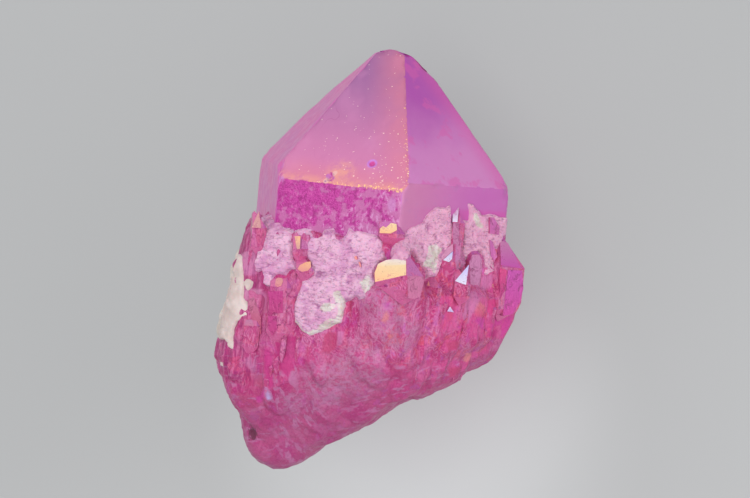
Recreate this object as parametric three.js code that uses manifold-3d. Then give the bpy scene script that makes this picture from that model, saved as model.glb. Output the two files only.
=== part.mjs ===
// An aura quartz specimen: one large quartz crystal lying on its back, its pointed end towards +Y,
// grown together with a root of smaller parallel crystals and with patches of rock matrix.
// Millimetres, +Z up. The crystal frame has its origin on the main crystal's c axis, which is +Y.
import * as THREE from "three";
import { ConvexGeometry } from "three/addons/geometries/ConvexGeometry.js";
import { mergeVertices } from "three/addons/utils/BufferGeometryUtils.js";
import Module from "manifold-3d";

// Quartz habit: six prism faces 60 degrees apart, and a cap face above each.
const FACE_COUNT = 6;
const FACE_STEP = 360 / FACE_COUNT;
const CAP_TILT = 51.79; // between the c axis and the normal of a cap face, in degrees
const HEEL_DIP = 30; // how far the normals of an overgrowth's lower faces dip below level

// An overgrowth's faces stand at uneven distances: the shares of its half width that they vary by.
const PRISM_SPREAD = 0.22;
const CAP_SPREAD = 0.08;
const HEEL_SPREAD = 0.5;

// The main crystal: each face's distance from the origin along its own normal, in azimuth order.
// Azimuth 0 faces +Z and azimuth 90 faces +X.
const MAIN_PRISM = [20.1, 20.0, 18.5, 19.6, 22.0, 18.0];
const MAIN_CAP = [22.3, 23.1, 22.2, 17.3, 25.3, 21.8];
const MAIN_FOOT = -8;

// The specimen rests on a broad prism face at its back.
const REST_DEPTH = 21.5;

// The root: a rounded, etched lump around the main crystal's lower half. Each side is a plane
// [azimuth, dip below level, distance from the root's middle]; the corners between are rounded.
const ROOT_MIDDLE = new THREE.Vector3(-0.5, -10, 0);
const ROOT_SIDES = [
  [0, 0, 21.6],
  [60, 0, 21.4],
  [120, 0, 22.0],
  [180, 0, 21.2],
  [240, 0, 20.8],
  [291, -7, 21.4],
  [111, 20, 20.9],
  [111, 56, 15.8],
  [21, 36, 21.5],
  [201, 36, 21.5],
  [291, 31, 25.4],
  [291, 80, 28.8],
];
const ROOT_TOP = 13.2;
const ROOT_SHARPNESS = 16;
const ROOT_SEGMENTS = 48;
const ROOT_RINGS = 30;
const ROOT_ROUGHNESS = 0.35;
const ROOT_BUMP_SIZE = 1.9;

// How far growths may stand out of the root's level sides, its dipping underside and its top.
const GROWTH_LIMIT = { level: 4, dip: 0.5, top: 16 };
const FLUSH = { level: 0, dip: 0, top: 0 };

// Overgrowth crystals that stand out of the root where they can be told apart:
// azimuth, reach from the c axis, half width, top and foot along the c axis.
const STEPS = [
  { azimuth: 112, reach: 21.2, width: 6.0, top: 11.0, foot: -16 },
  { azimuth: 106, reach: 23.0, width: 5.0, top: 4.4, foot: -18 },
  { azimuth: 118, reach: 24.3, width: 4.6, top: 0.8, foot: -20 },
  { azimuth: 100, reach: 24.3, width: 3.6, top: 0.2, foot: -18 },
  { azimuth: 90, reach: 23.6, width: 4.6, top: 4.6, foot: -18 },
  { azimuth: 76, reach: 23.0, width: 3.4, top: 3.6, foot: -16 },
  { azimuth: 67, reach: 22.6, width: 2.8, top: 1.0, foot: -15 },
  { azimuth: 58, reach: 22.6, width: 2.6, top: 2.6, foot: -16 },
  { azimuth: 49, reach: 22.9, width: 2.8, top: -1.6, foot: -16 },
  { azimuth: 40, reach: 23.2, width: 3.0, top: -2.6, foot: -18 },
  { azimuth: -27, reach: 22.6, width: 2.6, top: -6.5, foot: -22 },
  { azimuth: -38, reach: 22.2, width: 2.4, top: -4.0, foot: -20 },
  { azimuth: -50, reach: 20.8, width: 3.4, top: 5.6, foot: -18 },
  { azimuth: -64, reach: 21.6, width: 3.2, top: 1.0, foot: -22 },
  { azimuth: 180, reach: 26.0, width: 14.0, top: 13.0, foot: -28 },
  { azimuth: 152, reach: 22.6, width: 5.0, top: 7.0, foot: -20 },
  { azimuth: 209, reach: 23.4, width: 5.5, top: 3.0, foot: -24 },
];

// Smaller overgrowths scattered all round the root, each standing a little proud of it.
const SCATTER_COUNT = 72;
const SCATTER_TURN = 137.5; // degrees from one to the next, which spreads them evenly
const SCATTER_TOP = 0;
const SCATTER_DROP = 18;
const SCATTER_WIDTH = [1.2, 2.8];
const SCATTER_PROUD = [0.2, 1.0];
const SCATTER_LENGTH = [5, 11];

// Rock matrix: rough patches, each centred on the surface at an azimuth and a height along the
// c axis, with half sizes across, along and out of the surface, and a sink depth.
const PATCHES = [
  { azimuth: -22, height: -2.4, across: 6.4, along: 6.8, out: 2.4, sink: 1.7 },
  { azimuth: -2, height: -1.4, across: 8.0, along: 5.4, out: 2.5, sink: 1.7 },
  { azimuth: 3, height: -8.0, across: 5.2, along: 5.2, out: 3.0, sink: 1.5 },
  { azimuth: 15, height: -2.6, across: 5.5, along: 4.8, out: 2.5, sink: 1.7 },
  { azimuth: 40, height: 3.6, across: 5.0, along: 4.4, out: 2.4, sink: 1.1 },
  { azimuth: 72, height: 4.2, across: 3.8, along: 4.8, out: 2.6, sink: 1.2 },
  { azimuth: 266, height: -11.6, across: 7.5, along: 8.2, out: 4.6, sink: 1.7 },
  { azimuth: 236, height: -3.0, across: 8.0, along: 6.0, out: 3.2, sink: 1.8 },
];
const PATCH_SEGMENTS = 18;
const PATCH_RINGS = 11;
const PATCH_ROUGHNESS = 0.13;
const PATCH_BUMP_SIZE = 1.4;

const wasm = await Module();
wasm.setup();

const UP_AXIS = new THREE.Vector3(0, 1, 0);

// The level direction at an azimuth, square to the c axis.
function outward(azimuth) {
  const angle = THREE.MathUtils.degToRad(azimuth);
  return new THREE.Vector3(Math.sin(angle), 0, Math.cos(angle));
}

// The outward direction turned up towards the point by a tilt in degrees.
function tilted(azimuth, tilt) {
  const angle = THREE.MathUtils.degToRad(tilt);
  return outward(azimuth).multiplyScalar(Math.cos(angle)).addScaledVector(UP_AXIS, Math.sin(angle));
}

// A repeatable number from 0 to 1 for each whole number.
function chance(seed) {
  const value = Math.sin(seed * 127.1 + 11.7) * 43758.5453;
  return value - Math.floor(value);
}

function between([low, high], share) {
  return low + (high - low) * share;
}

// A smooth bumpy field of about -1 to 1 with no repeat within the specimen.
function bumps(point, scale) {
  const x = point.x / scale;
  const y = point.y / scale;
  const z = point.z / scale;
  const broad = Math.sin(x + 1.7 * Math.sin(y)) * Math.cos(z + 1.3 * Math.sin(x));
  const fine = Math.sin(2.3 * y + 1.9 * Math.cos(2.1 * z)) * Math.cos(2.7 * x + z);
  return 0.6 * broad + 0.4 * fine;
}

// The point where three planes meet, or null where they don't.
function meet(a, b, c) {
  const bc = b.normal.clone().cross(c.normal);
  const size = a.normal.dot(bc);
  if (Math.abs(size) < 1e-6) {
    return null;
  }
  const ca = c.normal.clone().cross(a.normal);
  const ab = a.normal.clone().cross(b.normal);
  return bc
    .multiplyScalar(a.reach)
    .addScaledVector(ca, b.reach)
    .addScaledVector(ab, c.reach)
    .divideScalar(size);
}

// The convex solid inside every plane, as a three.js geometry.
function polyhedron(planes) {
  const corners = [];
  const isInside = (p) => planes.every((q) => q.normal.dot(p) < q.reach + 1e-6);
  const isNew = (p) => corners.every((q) => q.distanceTo(p) > 1e-3);
  planes.forEach((a, i) =>
    planes.slice(i + 1).forEach((b, j) =>
      planes.slice(i + j + 2).forEach((c) => {
        const corner = meet(a, b, c);
        if (corner && isInside(corner) && isNew(corner)) {
          corners.push(corner);
        }
      }),
    ),
  );
  return new ConvexGeometry(corners);
}

// A three.js geometry as a manifold-3d solid.
function solidOf(geometry) {
  const bare = new THREE.BufferGeometry();
  bare.setAttribute("position", geometry.getAttribute("position"));
  bare.setIndex(geometry.getIndex());
  const welded = mergeVertices(bare, 1e-4);
  return new wasm.Manifold(
    new wasm.Mesh({
      numProp: 3,
      vertProperties: new Float32Array(welded.getAttribute("position").array),
      triVerts: new Uint32Array(welded.getIndex().array),
    }),
  );
}

// The planes of a crystal of the main habit: six prism faces and six cap faces.
function habit(prism, cap) {
  const sides = prism.map((reach, k) => ({ normal: outward(k * FACE_STEP), reach }));
  const caps = cap.map((reach, k) => ({ normal: tilted(k * FACE_STEP, 90 - CAP_TILT), reach }));
  return [...sides, ...caps];
}

function mainCrystal() {
  const foot = { normal: UP_AXIS.clone().negate(), reach: -MAIN_FOOT };
  return solidOf(polyhedron([...habit(MAIN_PRISM, MAIN_CAP), foot]));
}

// A doubly pointed crystal parallel to the main one, with uneven faces that its seed sets.
function overgrowth({ azimuth, reach, width, top, foot }, seed) {
  const share = (k) => chance(seed * 31 + k);
  const capDrop = Math.cos(THREE.MathUtils.degToRad(CAP_TILT));
  const heelDrop = Math.sin(THREE.MathUtils.degToRad(HEEL_DIP));
  const faces = Array.from({ length: FACE_COUNT }, (_, k) => k);
  const prism = faces.map((k) => width * (1 - PRISM_SPREAD * share(k)));
  const cap = faces.map((k) => top * capDrop + width * CAP_SPREAD * share(k + 7));
  const heel = faces.map((k) => ({
    normal: tilted(k * FACE_STEP, -HEEL_DIP),
    reach: -foot * heelDrop + width * HEEL_SPREAD * share(k + 13),
  }));
  const geometry = polyhedron([...habit(prism, cap), ...heel]);
  const centre = outward(azimuth).multiplyScalar(reach - width);
  return solidOf(geometry.translate(centre.x, centre.y, centre.z));
}

// How far the root reaches from its middle in a direction: rounded planes, as a sum of high powers.
// Its sides can be moved out by margins.
function rootReach(direction, margins) {
  const top = Math.max(0, direction.y / (ROOT_TOP + margins.top)) ** ROOT_SHARPNESS;
  const pull = ROOT_SIDES.reduce((sum, [azimuth, dip, distance]) => {
    const margin = dip > 0 ? margins.dip : margins.level;
    const share = direction.dot(tilted(azimuth, -dip)) / (distance + margin);
    return sum + Math.max(0, share) ** ROOT_SHARPNESS;
  }, top);
  return pull ** (-1 / ROOT_SHARPNESS);
}

// The root's distance from the c axis at an azimuth and a height.
function rootSurface(azimuth, height) {
  let inside = 0;
  let outside = 40;
  while (outside - inside > 0.01) {
    const radius = (inside + outside) / 2;
    const arm = outward(azimuth).multiplyScalar(radius).setY(height).sub(ROOT_MIDDLE);
    const length = arm.length();
    if (rootReach(arm.normalize(), FLUSH) > length) {
      inside = radius;
    } else {
      outside = radius;
    }
  }
  return inside;
}

// The distance of whichever stands further out there, the root or the main crystal.
function surface(azimuth, height) {
  const level = outward(azimuth);
  const rootRadius = rootSurface(azimuth, height);
  if (height < MAIN_FOOT) {
    return rootRadius;
  }
  const crossings = habit(MAIN_PRISM, MAIN_CAP)
    .filter(({ normal }) => normal.dot(level) > 0.01)
    .map(({ normal, reach }) => (reach - normal.y * height) / normal.dot(level));
  return Math.max(rootRadius, Math.min(...crossings));
}

// Moves each vertex of a unit sphere out to where a function of its direction puts it.
function shapedSphere(segments, rings, place) {
  const sphere = mergeVertices(new THREE.SphereGeometry(1, segments, rings).deleteAttribute("uv"));
  sphere.deleteAttribute("normal");
  const welded = mergeVertices(sphere, 1e-6);
  const position = welded.getAttribute("position");
  for (let i = 0; i < position.count; i += 1) {
    const direction = new THREE.Vector3().fromBufferAttribute(position, i).normalize();
    const placed = place(direction);
    position.setXYZ(i, placed.x, placed.y, placed.z);
  }
  return solidOf(welded);
}

function rootLump(margins) {
  return shapedSphere(ROOT_SEGMENTS, ROOT_RINGS, (direction) => {
    const reach = rootReach(direction, margins);
    const skin = direction.clone().multiplyScalar(reach).add(ROOT_MIDDLE);
    return skin.addScaledVector(direction, ROOT_ROUGHNESS * bumps(skin, ROOT_BUMP_SIZE));
  });
}

// A flattened rough patch of matrix lying on the root.
function matrixPatch({ azimuth, height, across, along, out, sink }) {
  const away = outward(azimuth);
  const side = outward(azimuth + 90);
  const centre = away.clone().multiplyScalar(surface(azimuth, height) - sink).setY(height);
  return shapedSphere(PATCH_SEGMENTS, PATCH_RINGS, (direction) => {
    const spot = direction.clone().multiplyScalar(across).add(centre);
    const swell = 1 + PATCH_ROUGHNESS * bumps(spot, PATCH_BUMP_SIZE);
    return centre
      .clone()
      .addScaledVector(side, direction.x * across * swell)
      .addScaledVector(UP_AXIS, direction.y * along * swell)
      .addScaledVector(away, direction.z * out * swell);
  });
}

function scatteredOvergrowths() {
  return Array.from({ length: SCATTER_COUNT }, (_, i) => {
    const azimuth = i * SCATTER_TURN;
    const top = SCATTER_TOP - SCATTER_DROP * chance(i + 500);
    const width = between(SCATTER_WIDTH, chance(i + 600));
    const length = between(SCATTER_LENGTH, chance(i + 700));
    const proud = between(SCATTER_PROUD, chance(i + 800));
    const reach = surface(azimuth, top - length / 2) + proud;
    return overgrowth({ azimuth, reach, width, top, foot: top - length }, i + 100);
  });
}

function joined(solids) {
  return solids.reduce((sum, solid) => sum.add(solid));
}

// What lies behind the resting face, to cut off.
function behindRest() {
  const slab = new THREE.BoxGeometry(200, 200, 100);
  return solidOf(slab.translate(0, 0, -REST_DEPTH - 50));
}

function specimenSolid() {
  const overgrowths = joined([...STEPS.map(overgrowth), ...scatteredOvergrowths()]);
  const limited = overgrowths.intersect(rootLump(GROWTH_LIMIT));
  const patches = joined(PATCHES.map(matrixPatch));
  const grown = joined([mainCrystal(), rootLump(FLUSH), limited, patches]);
  return grown.subtract(behindRest());
}

// A manifold-3d solid as a three.js geometry.
function geometryOf(solid) {
  const { vertProperties, triVerts } = solid.getMesh();
  const geometry = new THREE.BufferGeometry();
  geometry.setAttribute("position", new THREE.BufferAttribute(vertProperties, 3));
  geometry.setIndex(new THREE.BufferAttribute(triVerts, 1));
  geometry.computeVertexNormals();
  return geometry;
}

const COAT_COLOR = [0.75, 0.32, 0.62];
const auraCoat = new THREE.MeshStandardMaterial({
  name: "aura_coat",
  color: new THREE.Color().setRGB(...COAT_COLOR, THREE.SRGBColorSpace),
  roughness: 0.3,
  metalness: 0.1,
  flatShading: true,
});

const specimen = new THREE.Mesh(geometryOf(specimenSolid()), auraCoat);
specimen.name = "aura_quartz";

// The row's origin lies under the middle of the specimen, on the surface it rests on.
specimen.geometry.computeBoundingBox();
const box = specimen.geometry.boundingBox;
const middle = box.getCenter(new THREE.Vector3());
specimen.position.set(-middle.x, -middle.y, -box.min.z);

const root = new THREE.Group();
root.add(specimen);

export default root;
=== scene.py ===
import functools
import itertools
import math

import bpy
import numpy as np
from mathutils import Matrix, Vector
from mathutils.geometry import delaunay_2d_cdt


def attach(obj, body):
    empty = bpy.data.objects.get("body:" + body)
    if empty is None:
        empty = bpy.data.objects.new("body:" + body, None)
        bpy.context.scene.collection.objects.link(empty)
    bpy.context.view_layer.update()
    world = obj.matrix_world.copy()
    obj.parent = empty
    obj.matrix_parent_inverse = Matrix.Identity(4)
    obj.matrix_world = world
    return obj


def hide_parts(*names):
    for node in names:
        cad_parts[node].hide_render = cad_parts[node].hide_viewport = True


# The shapes are worked out in millimetres in the crystal frame: its origin is on the main crystal's
# c axis, which is +Y, azimuth 0 faces +Z and azimuth 90 faces +X. AXIS is that origin in the row frame.
METRE = 0.001
NODE = "aura_quartz"
REST_DEPTH = 21.5  # from the crystal frame's origin down to the floor
AXIS = np.array((0.7919, 1.8348, REST_DEPTH))
C_AXIS = np.array((0.0, 1.0, 0.0))

# Quartz habit, as in the CAD model.
FACE_COUNT = 6
FACE_STEP = 360 / FACE_COUNT
CAP_TILT = 51.79  # between the c axis and the normal of a cap face, in degrees
HEEL_DIP = 30  # how far below level the lower faces of an overgrowth face, in degrees
PRISM_SPREAD = 0.22  # how uneven an overgrowth's face distances are, as shares of its half width
CAP_SPREAD = 0.08
HEEL_SPREAD = 0.5

# The main crystal's face distances in azimuth order.
MAIN_PRISM = (20.1, 20.0, 18.5, 19.6, 22.0, 18.0)
MAIN_CAP = (22.3, 23.1, 22.2, 17.3, 25.3, 21.8)
MAIN_FOOT = -8.0

# The root: planes of azimuth, dip below level and distance from its middle, rounded together.
ROOT_MIDDLE = np.array((-0.5, -10.0, 0.0))
ROOT_SIDES = (
    (0, 0, 21.6), (60, 0, 21.4), (120, 0, 22.0), (180, 0, 21.2), (240, 0, 20.8), (291, -7, 21.4),
    (111, 20, 20.9), (111, 56, 15.8), (21, 36, 21.5), (201, 36, 21.5), (291, 31, 25.4), (291, 80, 28.8),
)
ROOT_TOP = 13.2
ROOT_SHARPNESS = 16  # the higher it is, the tighter the rounding
ROOT_ROUGHNESS = 0.35
ROOT_BUMP_SIZE = 1.9
GROWTH_LEVEL_LIMIT = 4.0  # how far growths may stand out of the root's level sides
GROWTH_DIP_LIMIT = 0.25  # and out of its dipping underside
GROWTH_TOP_LIMIT = 16.0

# The larger overgrowths: azimuth, reach from the c axis, half width, top and foot.
STEPS = (
    (112, 21.2, 6.0, 11.0, -16), (106, 23.0, 5.0, 4.4, -18), (118, 24.3, 4.6, 0.8, -20),
    (100, 24.3, 3.6, 0.2, -18), (90, 23.6, 4.6, 4.6, -18), (76, 23.0, 3.4, 3.6, -16),
    (67, 22.6, 2.8, 1.0, -15), (58, 22.6, 2.6, 2.6, -16), (49, 22.9, 2.8, -1.6, -16),
    (40, 23.2, 3.0, -2.6, -18), (-27, 22.6, 2.6, -6.5, -22), (-38, 22.2, 2.4, -4.0, -20),
    (-50, 20.8, 3.4, 5.6, -18), (-64, 21.6, 3.2, 1.0, -22), (180, 26.0, 14.0, 13.0, -28),
    (152, 22.6, 5.0, 7.0, -20), (209, 23.4, 5.5, 3.0, -24),
)

# The overgrowths scattered all round the root, with the limits of what chance gives each.
SCATTER_COUNT = 72
SCATTER_TURN = 137.5  # from one to the next, in degrees
SCATTER_TOP = (0, -18)
SCATTER_WIDTH = (1.2, 2.8)
SCATTER_LENGTH = (5, 11)
SCATTER_PROUD = (0.2, 1.0)
SCATTER_SEEDS = (500, 600, 700, 800)
SCATTER_SHAPE_SEED = 100

# Slender crystals between them, in groups: how many, the middle and half spread of their azimuths,
# and the lowest and highest top, half width, proudness and length.
FINE_GROUPS = (
    (240, 0, 180, (-17.0, 4.0), (0.3, 1.0), (0.05, 0.35), (2.5, 8.0)),
    (120, -36, 26, (-22.0, -5.0), (0.4, 1.3), (0.2, 0.8), (2.5, 8.0)),
)
FINE_HEEL_DIP = 12
FINE_OVERHANG = 0.5  # how far a foot may stand clear of what carries it
FINE_CHECKS = (0, 0.35, 0.7)  # how far down their length they are kept off matrix and broad facets
FINE_CLEARANCE = 0.3  # from matrix and broad facets
FINE_SEAT = 0.3  # how far down their length their proudness is measured
FINE_TRIALS = 6  # how often an overhanging one is shortened
FINE_SHORTER = 0.75
FINE_SHORTEST = 1.0
FINE_BIAS = (1.6, 1.4)  # powers that make narrow and flat ones commoner
FINE_DRAWS = 5
FINE_SEED, FINE_DRAW_STEP, FINE_GROUP_STEP, FINE_TINT_SEED = 2000, 5000, 1000, 4000
FINE_CALM = 0.55  # how much of the common hue a slender crystal's facets take
SMOOTH_SIDE = (82, 130, -15)  # the lowest and highest azimuth and the foot of the side with broad facets

# Places seen in the photograph are given as its pixels, 750 across and 498 down.

# The outline below the large crystal, and where the surface swells out of the root: place and rise.
OUTLINE = (
    (510, 252), (518, 270), (521, 290), (519, 305), (514, 319), (507, 333), (500, 346), (494, 357),
    (485, 365.5), (477, 367), (468, 370), (461, 379), (450, 386), (436, 391), (425, 398), (410, 400),
    (400, 403), (388, 412), (372, 423), (350, 434), (336, 441), (325, 445), (312, 455), (300, 464),
    (288, 468), (274, 466), (258, 461), (248, 452), (244, 438), (243, 421), (236, 407), (230, 400),
    (225, 385), (220, 373), (216, 360), (243, 243), (246, 230), (251, 220),
)
SWELLS = (
    ((380, 298), 2.8), ((393, 297), 3.1), ((407, 299), 3.0), ((418, 303), 2.2), ((384, 311), 2.2),
    ((399, 312), 2.2), ((412, 315), 1.6), ((390, 326), 1.3), ((404, 328), 1.1), ((428, 308), 1.0),
    ((441, 300), 1.3), ((456, 308), 1.9), ((469, 310), 2.1), ((480, 312), 1.7), ((460, 322), 1.3),
    ((472, 326), 1.3), ((484, 326), 1.0), ((440, 318), 0.9), ((446, 284), 0.8), ((296, 292), 0.6),
    ((500, 322), 1.4), ((509, 318), 1.2), ((499, 306), 1.2), ((250, 356), 0.7), ((246, 346), 0.5),
)
MARK_SPREAD = 3.4  # how far in degrees a mark moves the surface round it
MARK_FADE = 0.25  # the higher it is, the sooner a mark's pull fades
STEEPEST = 0.5  # the least cosine that a shift seen from the c axis is divided by
OUTLINE_SPAN = 26.0  # how far before and behind the c axis the outline may lie
OUTLINE_ROUNDS = 4

# Crystals that show a front and a side face: the left, shared and right edges, the top and the foot of
# the shared edge, how far they stand out, and how far their hue leans to the second one of its facing.
CORNERS = (
    (374, 406.5, 423, 276, 290, 3.6, 0.3), (379, 396.5, 405, 234, 238, 1.3, 0.7),
    (293, 300.5, 309, 250, 256, 1.7, 0.2), (296, 311, 314, 271, 274, 1.6, 0.2),
    (268, 285, 294, 288, 334, 1.2, 0.3), (283, 294, 300, 296, 326, 0.8, 0.1),
    (251.5, 262, 266, 228, 248, 1.0, 0.2), (247, 260, 264, 297, 330, 0.6, 1.0),
    (243, 256, 259, 326, 348, 1.0, 0.2), (441, 453, 461, 262, 267, 1.2, 0.8),
    (452, 459, 464, 223, 246, 2.2, 0.5), (454, 467, 470, 285, 298, 3.7, 0.7),
    (466, 470, 481.5, 258, 290, 0.8, 0.7), (424, 437, 441, 288, 306, 0.4, 0.8),
    (492, 499.5, 524.5, 267, 309, 2.6, 0.9),
)
CORNER_DEPTH = 4.0  # how far behind the seen edge the hidden faces lie
CORNER_LEFT_CAP = 1.2  # how far out the left cap face is moved
CORNER_HEEL_DIP = 38
CORNER_CALM = 0.35

# Single facets: the way they face as azimuth and tilt, or how far they are lifted off the skin where they
# follow it, the colours at their foot and top, and their outline.
FRONT, FRONT_CAP, SIDE, SIDE_CAP = (0, 0), (0, 38.21), (60, 0), (60, 38.21)
ON_SKIN, ON_MATRIX = 0.3, 0.7
# The gold hues and the sky hues are painted reflections: the lamps' golden and bluish glints, painted on the
# small facets turned towards them.
ROSE_GOLD, DULL_GOLD, PEACH = (234, 148, 132), (206, 144, 144), (220, 132, 134)
YELLOW_GOLD, BRIGHT_GOLD, PALE_GOLD = (244, 184, 136), (240, 208, 160), (228, 210, 206)
SKY, PALE_SKY = (190, 184, 238), (230, 228, 250)
MAUVE, GREY_MAUVE, ORCHID, VIOLET = (200, 122, 170), (184, 112, 156), (194, 98, 168), (198, 74, 168)
CORAL, BRICK, GREY_ROSE = (212, 84, 128), (184, 66, 106), (190, 106, 142)
DUSKY_PINK, ROCK_PINK = (200, 109, 153), (212, 146, 182)
RED, CARMINE = (214, 64, 130), (182, 50, 118)
HOT_PINK, CERISE = (206, 66, 154), (188, 48, 128)
FACETS = (
    (FRONT_CAP, YELLOW_GOLD, BRIGHT_GOLD, (
        (375, 282), (374.5, 273), (377, 266.5), (406, 264.5), (406, 275))),
    (FRONT_CAP, BRIGHT_GOLD, PALE_GOLD, (
        (377, 266.5), (378, 264), (386, 260), (395, 259), (406, 260.5), (406, 264.5))),
    (FRONT_CAP, ROCK_PINK, ROCK_PINK, ((391, 259), (396, 252), (402, 247), (406, 249), (406, 260))),
    (SIDE, DUSKY_PINK, DUSKY_PINK, (
        (407.5, 276), (423, 276.5), (424, 282), (420, 297), (414, 299), (408, 298))),
    (FRONT_CAP, YELLOW_GOLD, BRIGHT_GOLD, (
        (379.5, 233), (380, 228.5), (383, 226), (386, 227.5), (391, 223), (396.5, 224), (397, 230),
        (391, 233.5))),
    (FRONT_CAP, ORCHID, ORCHID, (
        (379, 228.5), (380, 222), (396, 220.5), (396.5, 224), (391, 223), (386, 227.5), (383, 226))),
    (FRONT_CAP, DULL_GOLD, YELLOW_GOLD, ((297, 249.5), (294.5, 236.5), (300.5, 236), (300, 249))),
    (ON_SKIN, MAUVE, MAUVE, ((301, 250), (301, 238), (304, 235), (308, 237), (309, 250))),
    (FRONT_CAP, PEACH, YELLOW_GOLD, (
        (297.5, 269), (300, 265), (306, 262), (310.5, 261.5), (311, 267), (308, 270.5), (302, 272))),
    (FRONT_CAP, PEACH, DULL_GOLD, (
        (275, 285), (276, 279), (279, 276.5), (282, 277), (283, 281.5), (281, 286), (277, 287))),
    (FRONT_CAP, DULL_GOLD, DULL_GOLD, ((251.5, 227.5), (259, 211), (261, 228))),
    (FRONT_CAP, GREY_ROSE, GREY_MAUVE, ((244, 325.5), (246, 320), (252, 319.5), (254, 326))),
    (FRONT_CAP, PALE_SKY, SKY, ((443, 260), (453, 251), (452, 259), (449, 262))),
    (FRONT_CAP, ROCK_PINK, ROCK_PINK, ((441, 259.5), (447, 248), (453, 244), (453, 250.5), (443, 259.5))),
    (ON_SKIN, MAUVE, MAUVE, (
        (453.5, 262), (454, 244), (459, 246), (463, 257), (464, 264), (460, 269), (455, 271))),
    (FRONT_CAP, PALE_SKY, SKY, ((455, 281), (469, 264.5), (466, 285))),
    (SIDE, MAUVE, MAUVE, (
        (470.5, 289), (469.5, 262), (472, 255), (479, 254.5), (482, 260), (482, 268), (479, 289))),
    (FRONT, GREY_MAUVE, GREY_MAUVE, ((453, 245), (453, 223), (459, 223), (459, 246))),
    (FRONT_CAP, PALE_SKY, MAUVE, ((452.5, 222), (453, 207), (456, 202), (459, 206), (457.5, 222))),
    (ON_MATRIX, ROSE_GOLD, ROSE_GOLD, ((355.5, 257), (358, 255.5), (359.5, 258.5), (357.5, 260))),
    (ON_MATRIX, ROSE_GOLD, ROSE_GOLD, ((360, 262), (361.5, 261.5), (363, 267), (361.5, 267))),
    (ON_SKIN, PEACH, YELLOW_GOLD, ((427.5, 287), (429, 282), (430.5, 287))),
    (SIDE, PEACH, YELLOW_GOLD, ((491, 289), (491.5, 284.5), (493, 284), (493.5, 288))),
    (ON_MATRIX, PEACH, CORAL, ((495.5, 258), (496, 251), (498, 252), (497.5, 258))),
    (ON_SKIN, SKY, PALE_SKY, ((446, 311), (449, 306), (453, 312))),
    (SIDE_CAP, VIOLET, MAUVE, ((501, 265), (500, 240), (508, 243), (521.5, 268.5))),
    (ON_MATRIX, ORCHID, ORCHID, ((486.7, 233), (487, 217), (491, 217), (497, 227), (496, 234.4))),
    (ON_MATRIX, ORCHID, ORCHID, ((488, 241), (491, 243), (496, 258), (493, 262), (489.5, 258))),
    (SIDE, HOT_PINK, VIOLET, (
        (503, 316), (506, 290), (508, 270), (522, 270.5), (523.5, 288), (520, 302), (513, 314))),
    (SIDE, CERISE, RED, ((499.8, 300), (500, 268), (507, 270), (505, 290))),
    (FRONT, CARMINE, CERISE, ((270, 314), (268, 291), (283, 291), (283, 313))),
    (FRONT, CARMINE, CERISE, ((272, 336), (268, 328), (268, 316), (277, 316), (277, 330))),
    (FRONT, BRICK, GREY_ROSE, ((256, 334), (251, 316), (247, 300), (254, 297), (261, 318), (261, 334))),
    (ON_SKIN, PALE_GOLD, PALE_GOLD, ((222, 365), (222, 361.5), (225, 362), (225, 366))),
)

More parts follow.
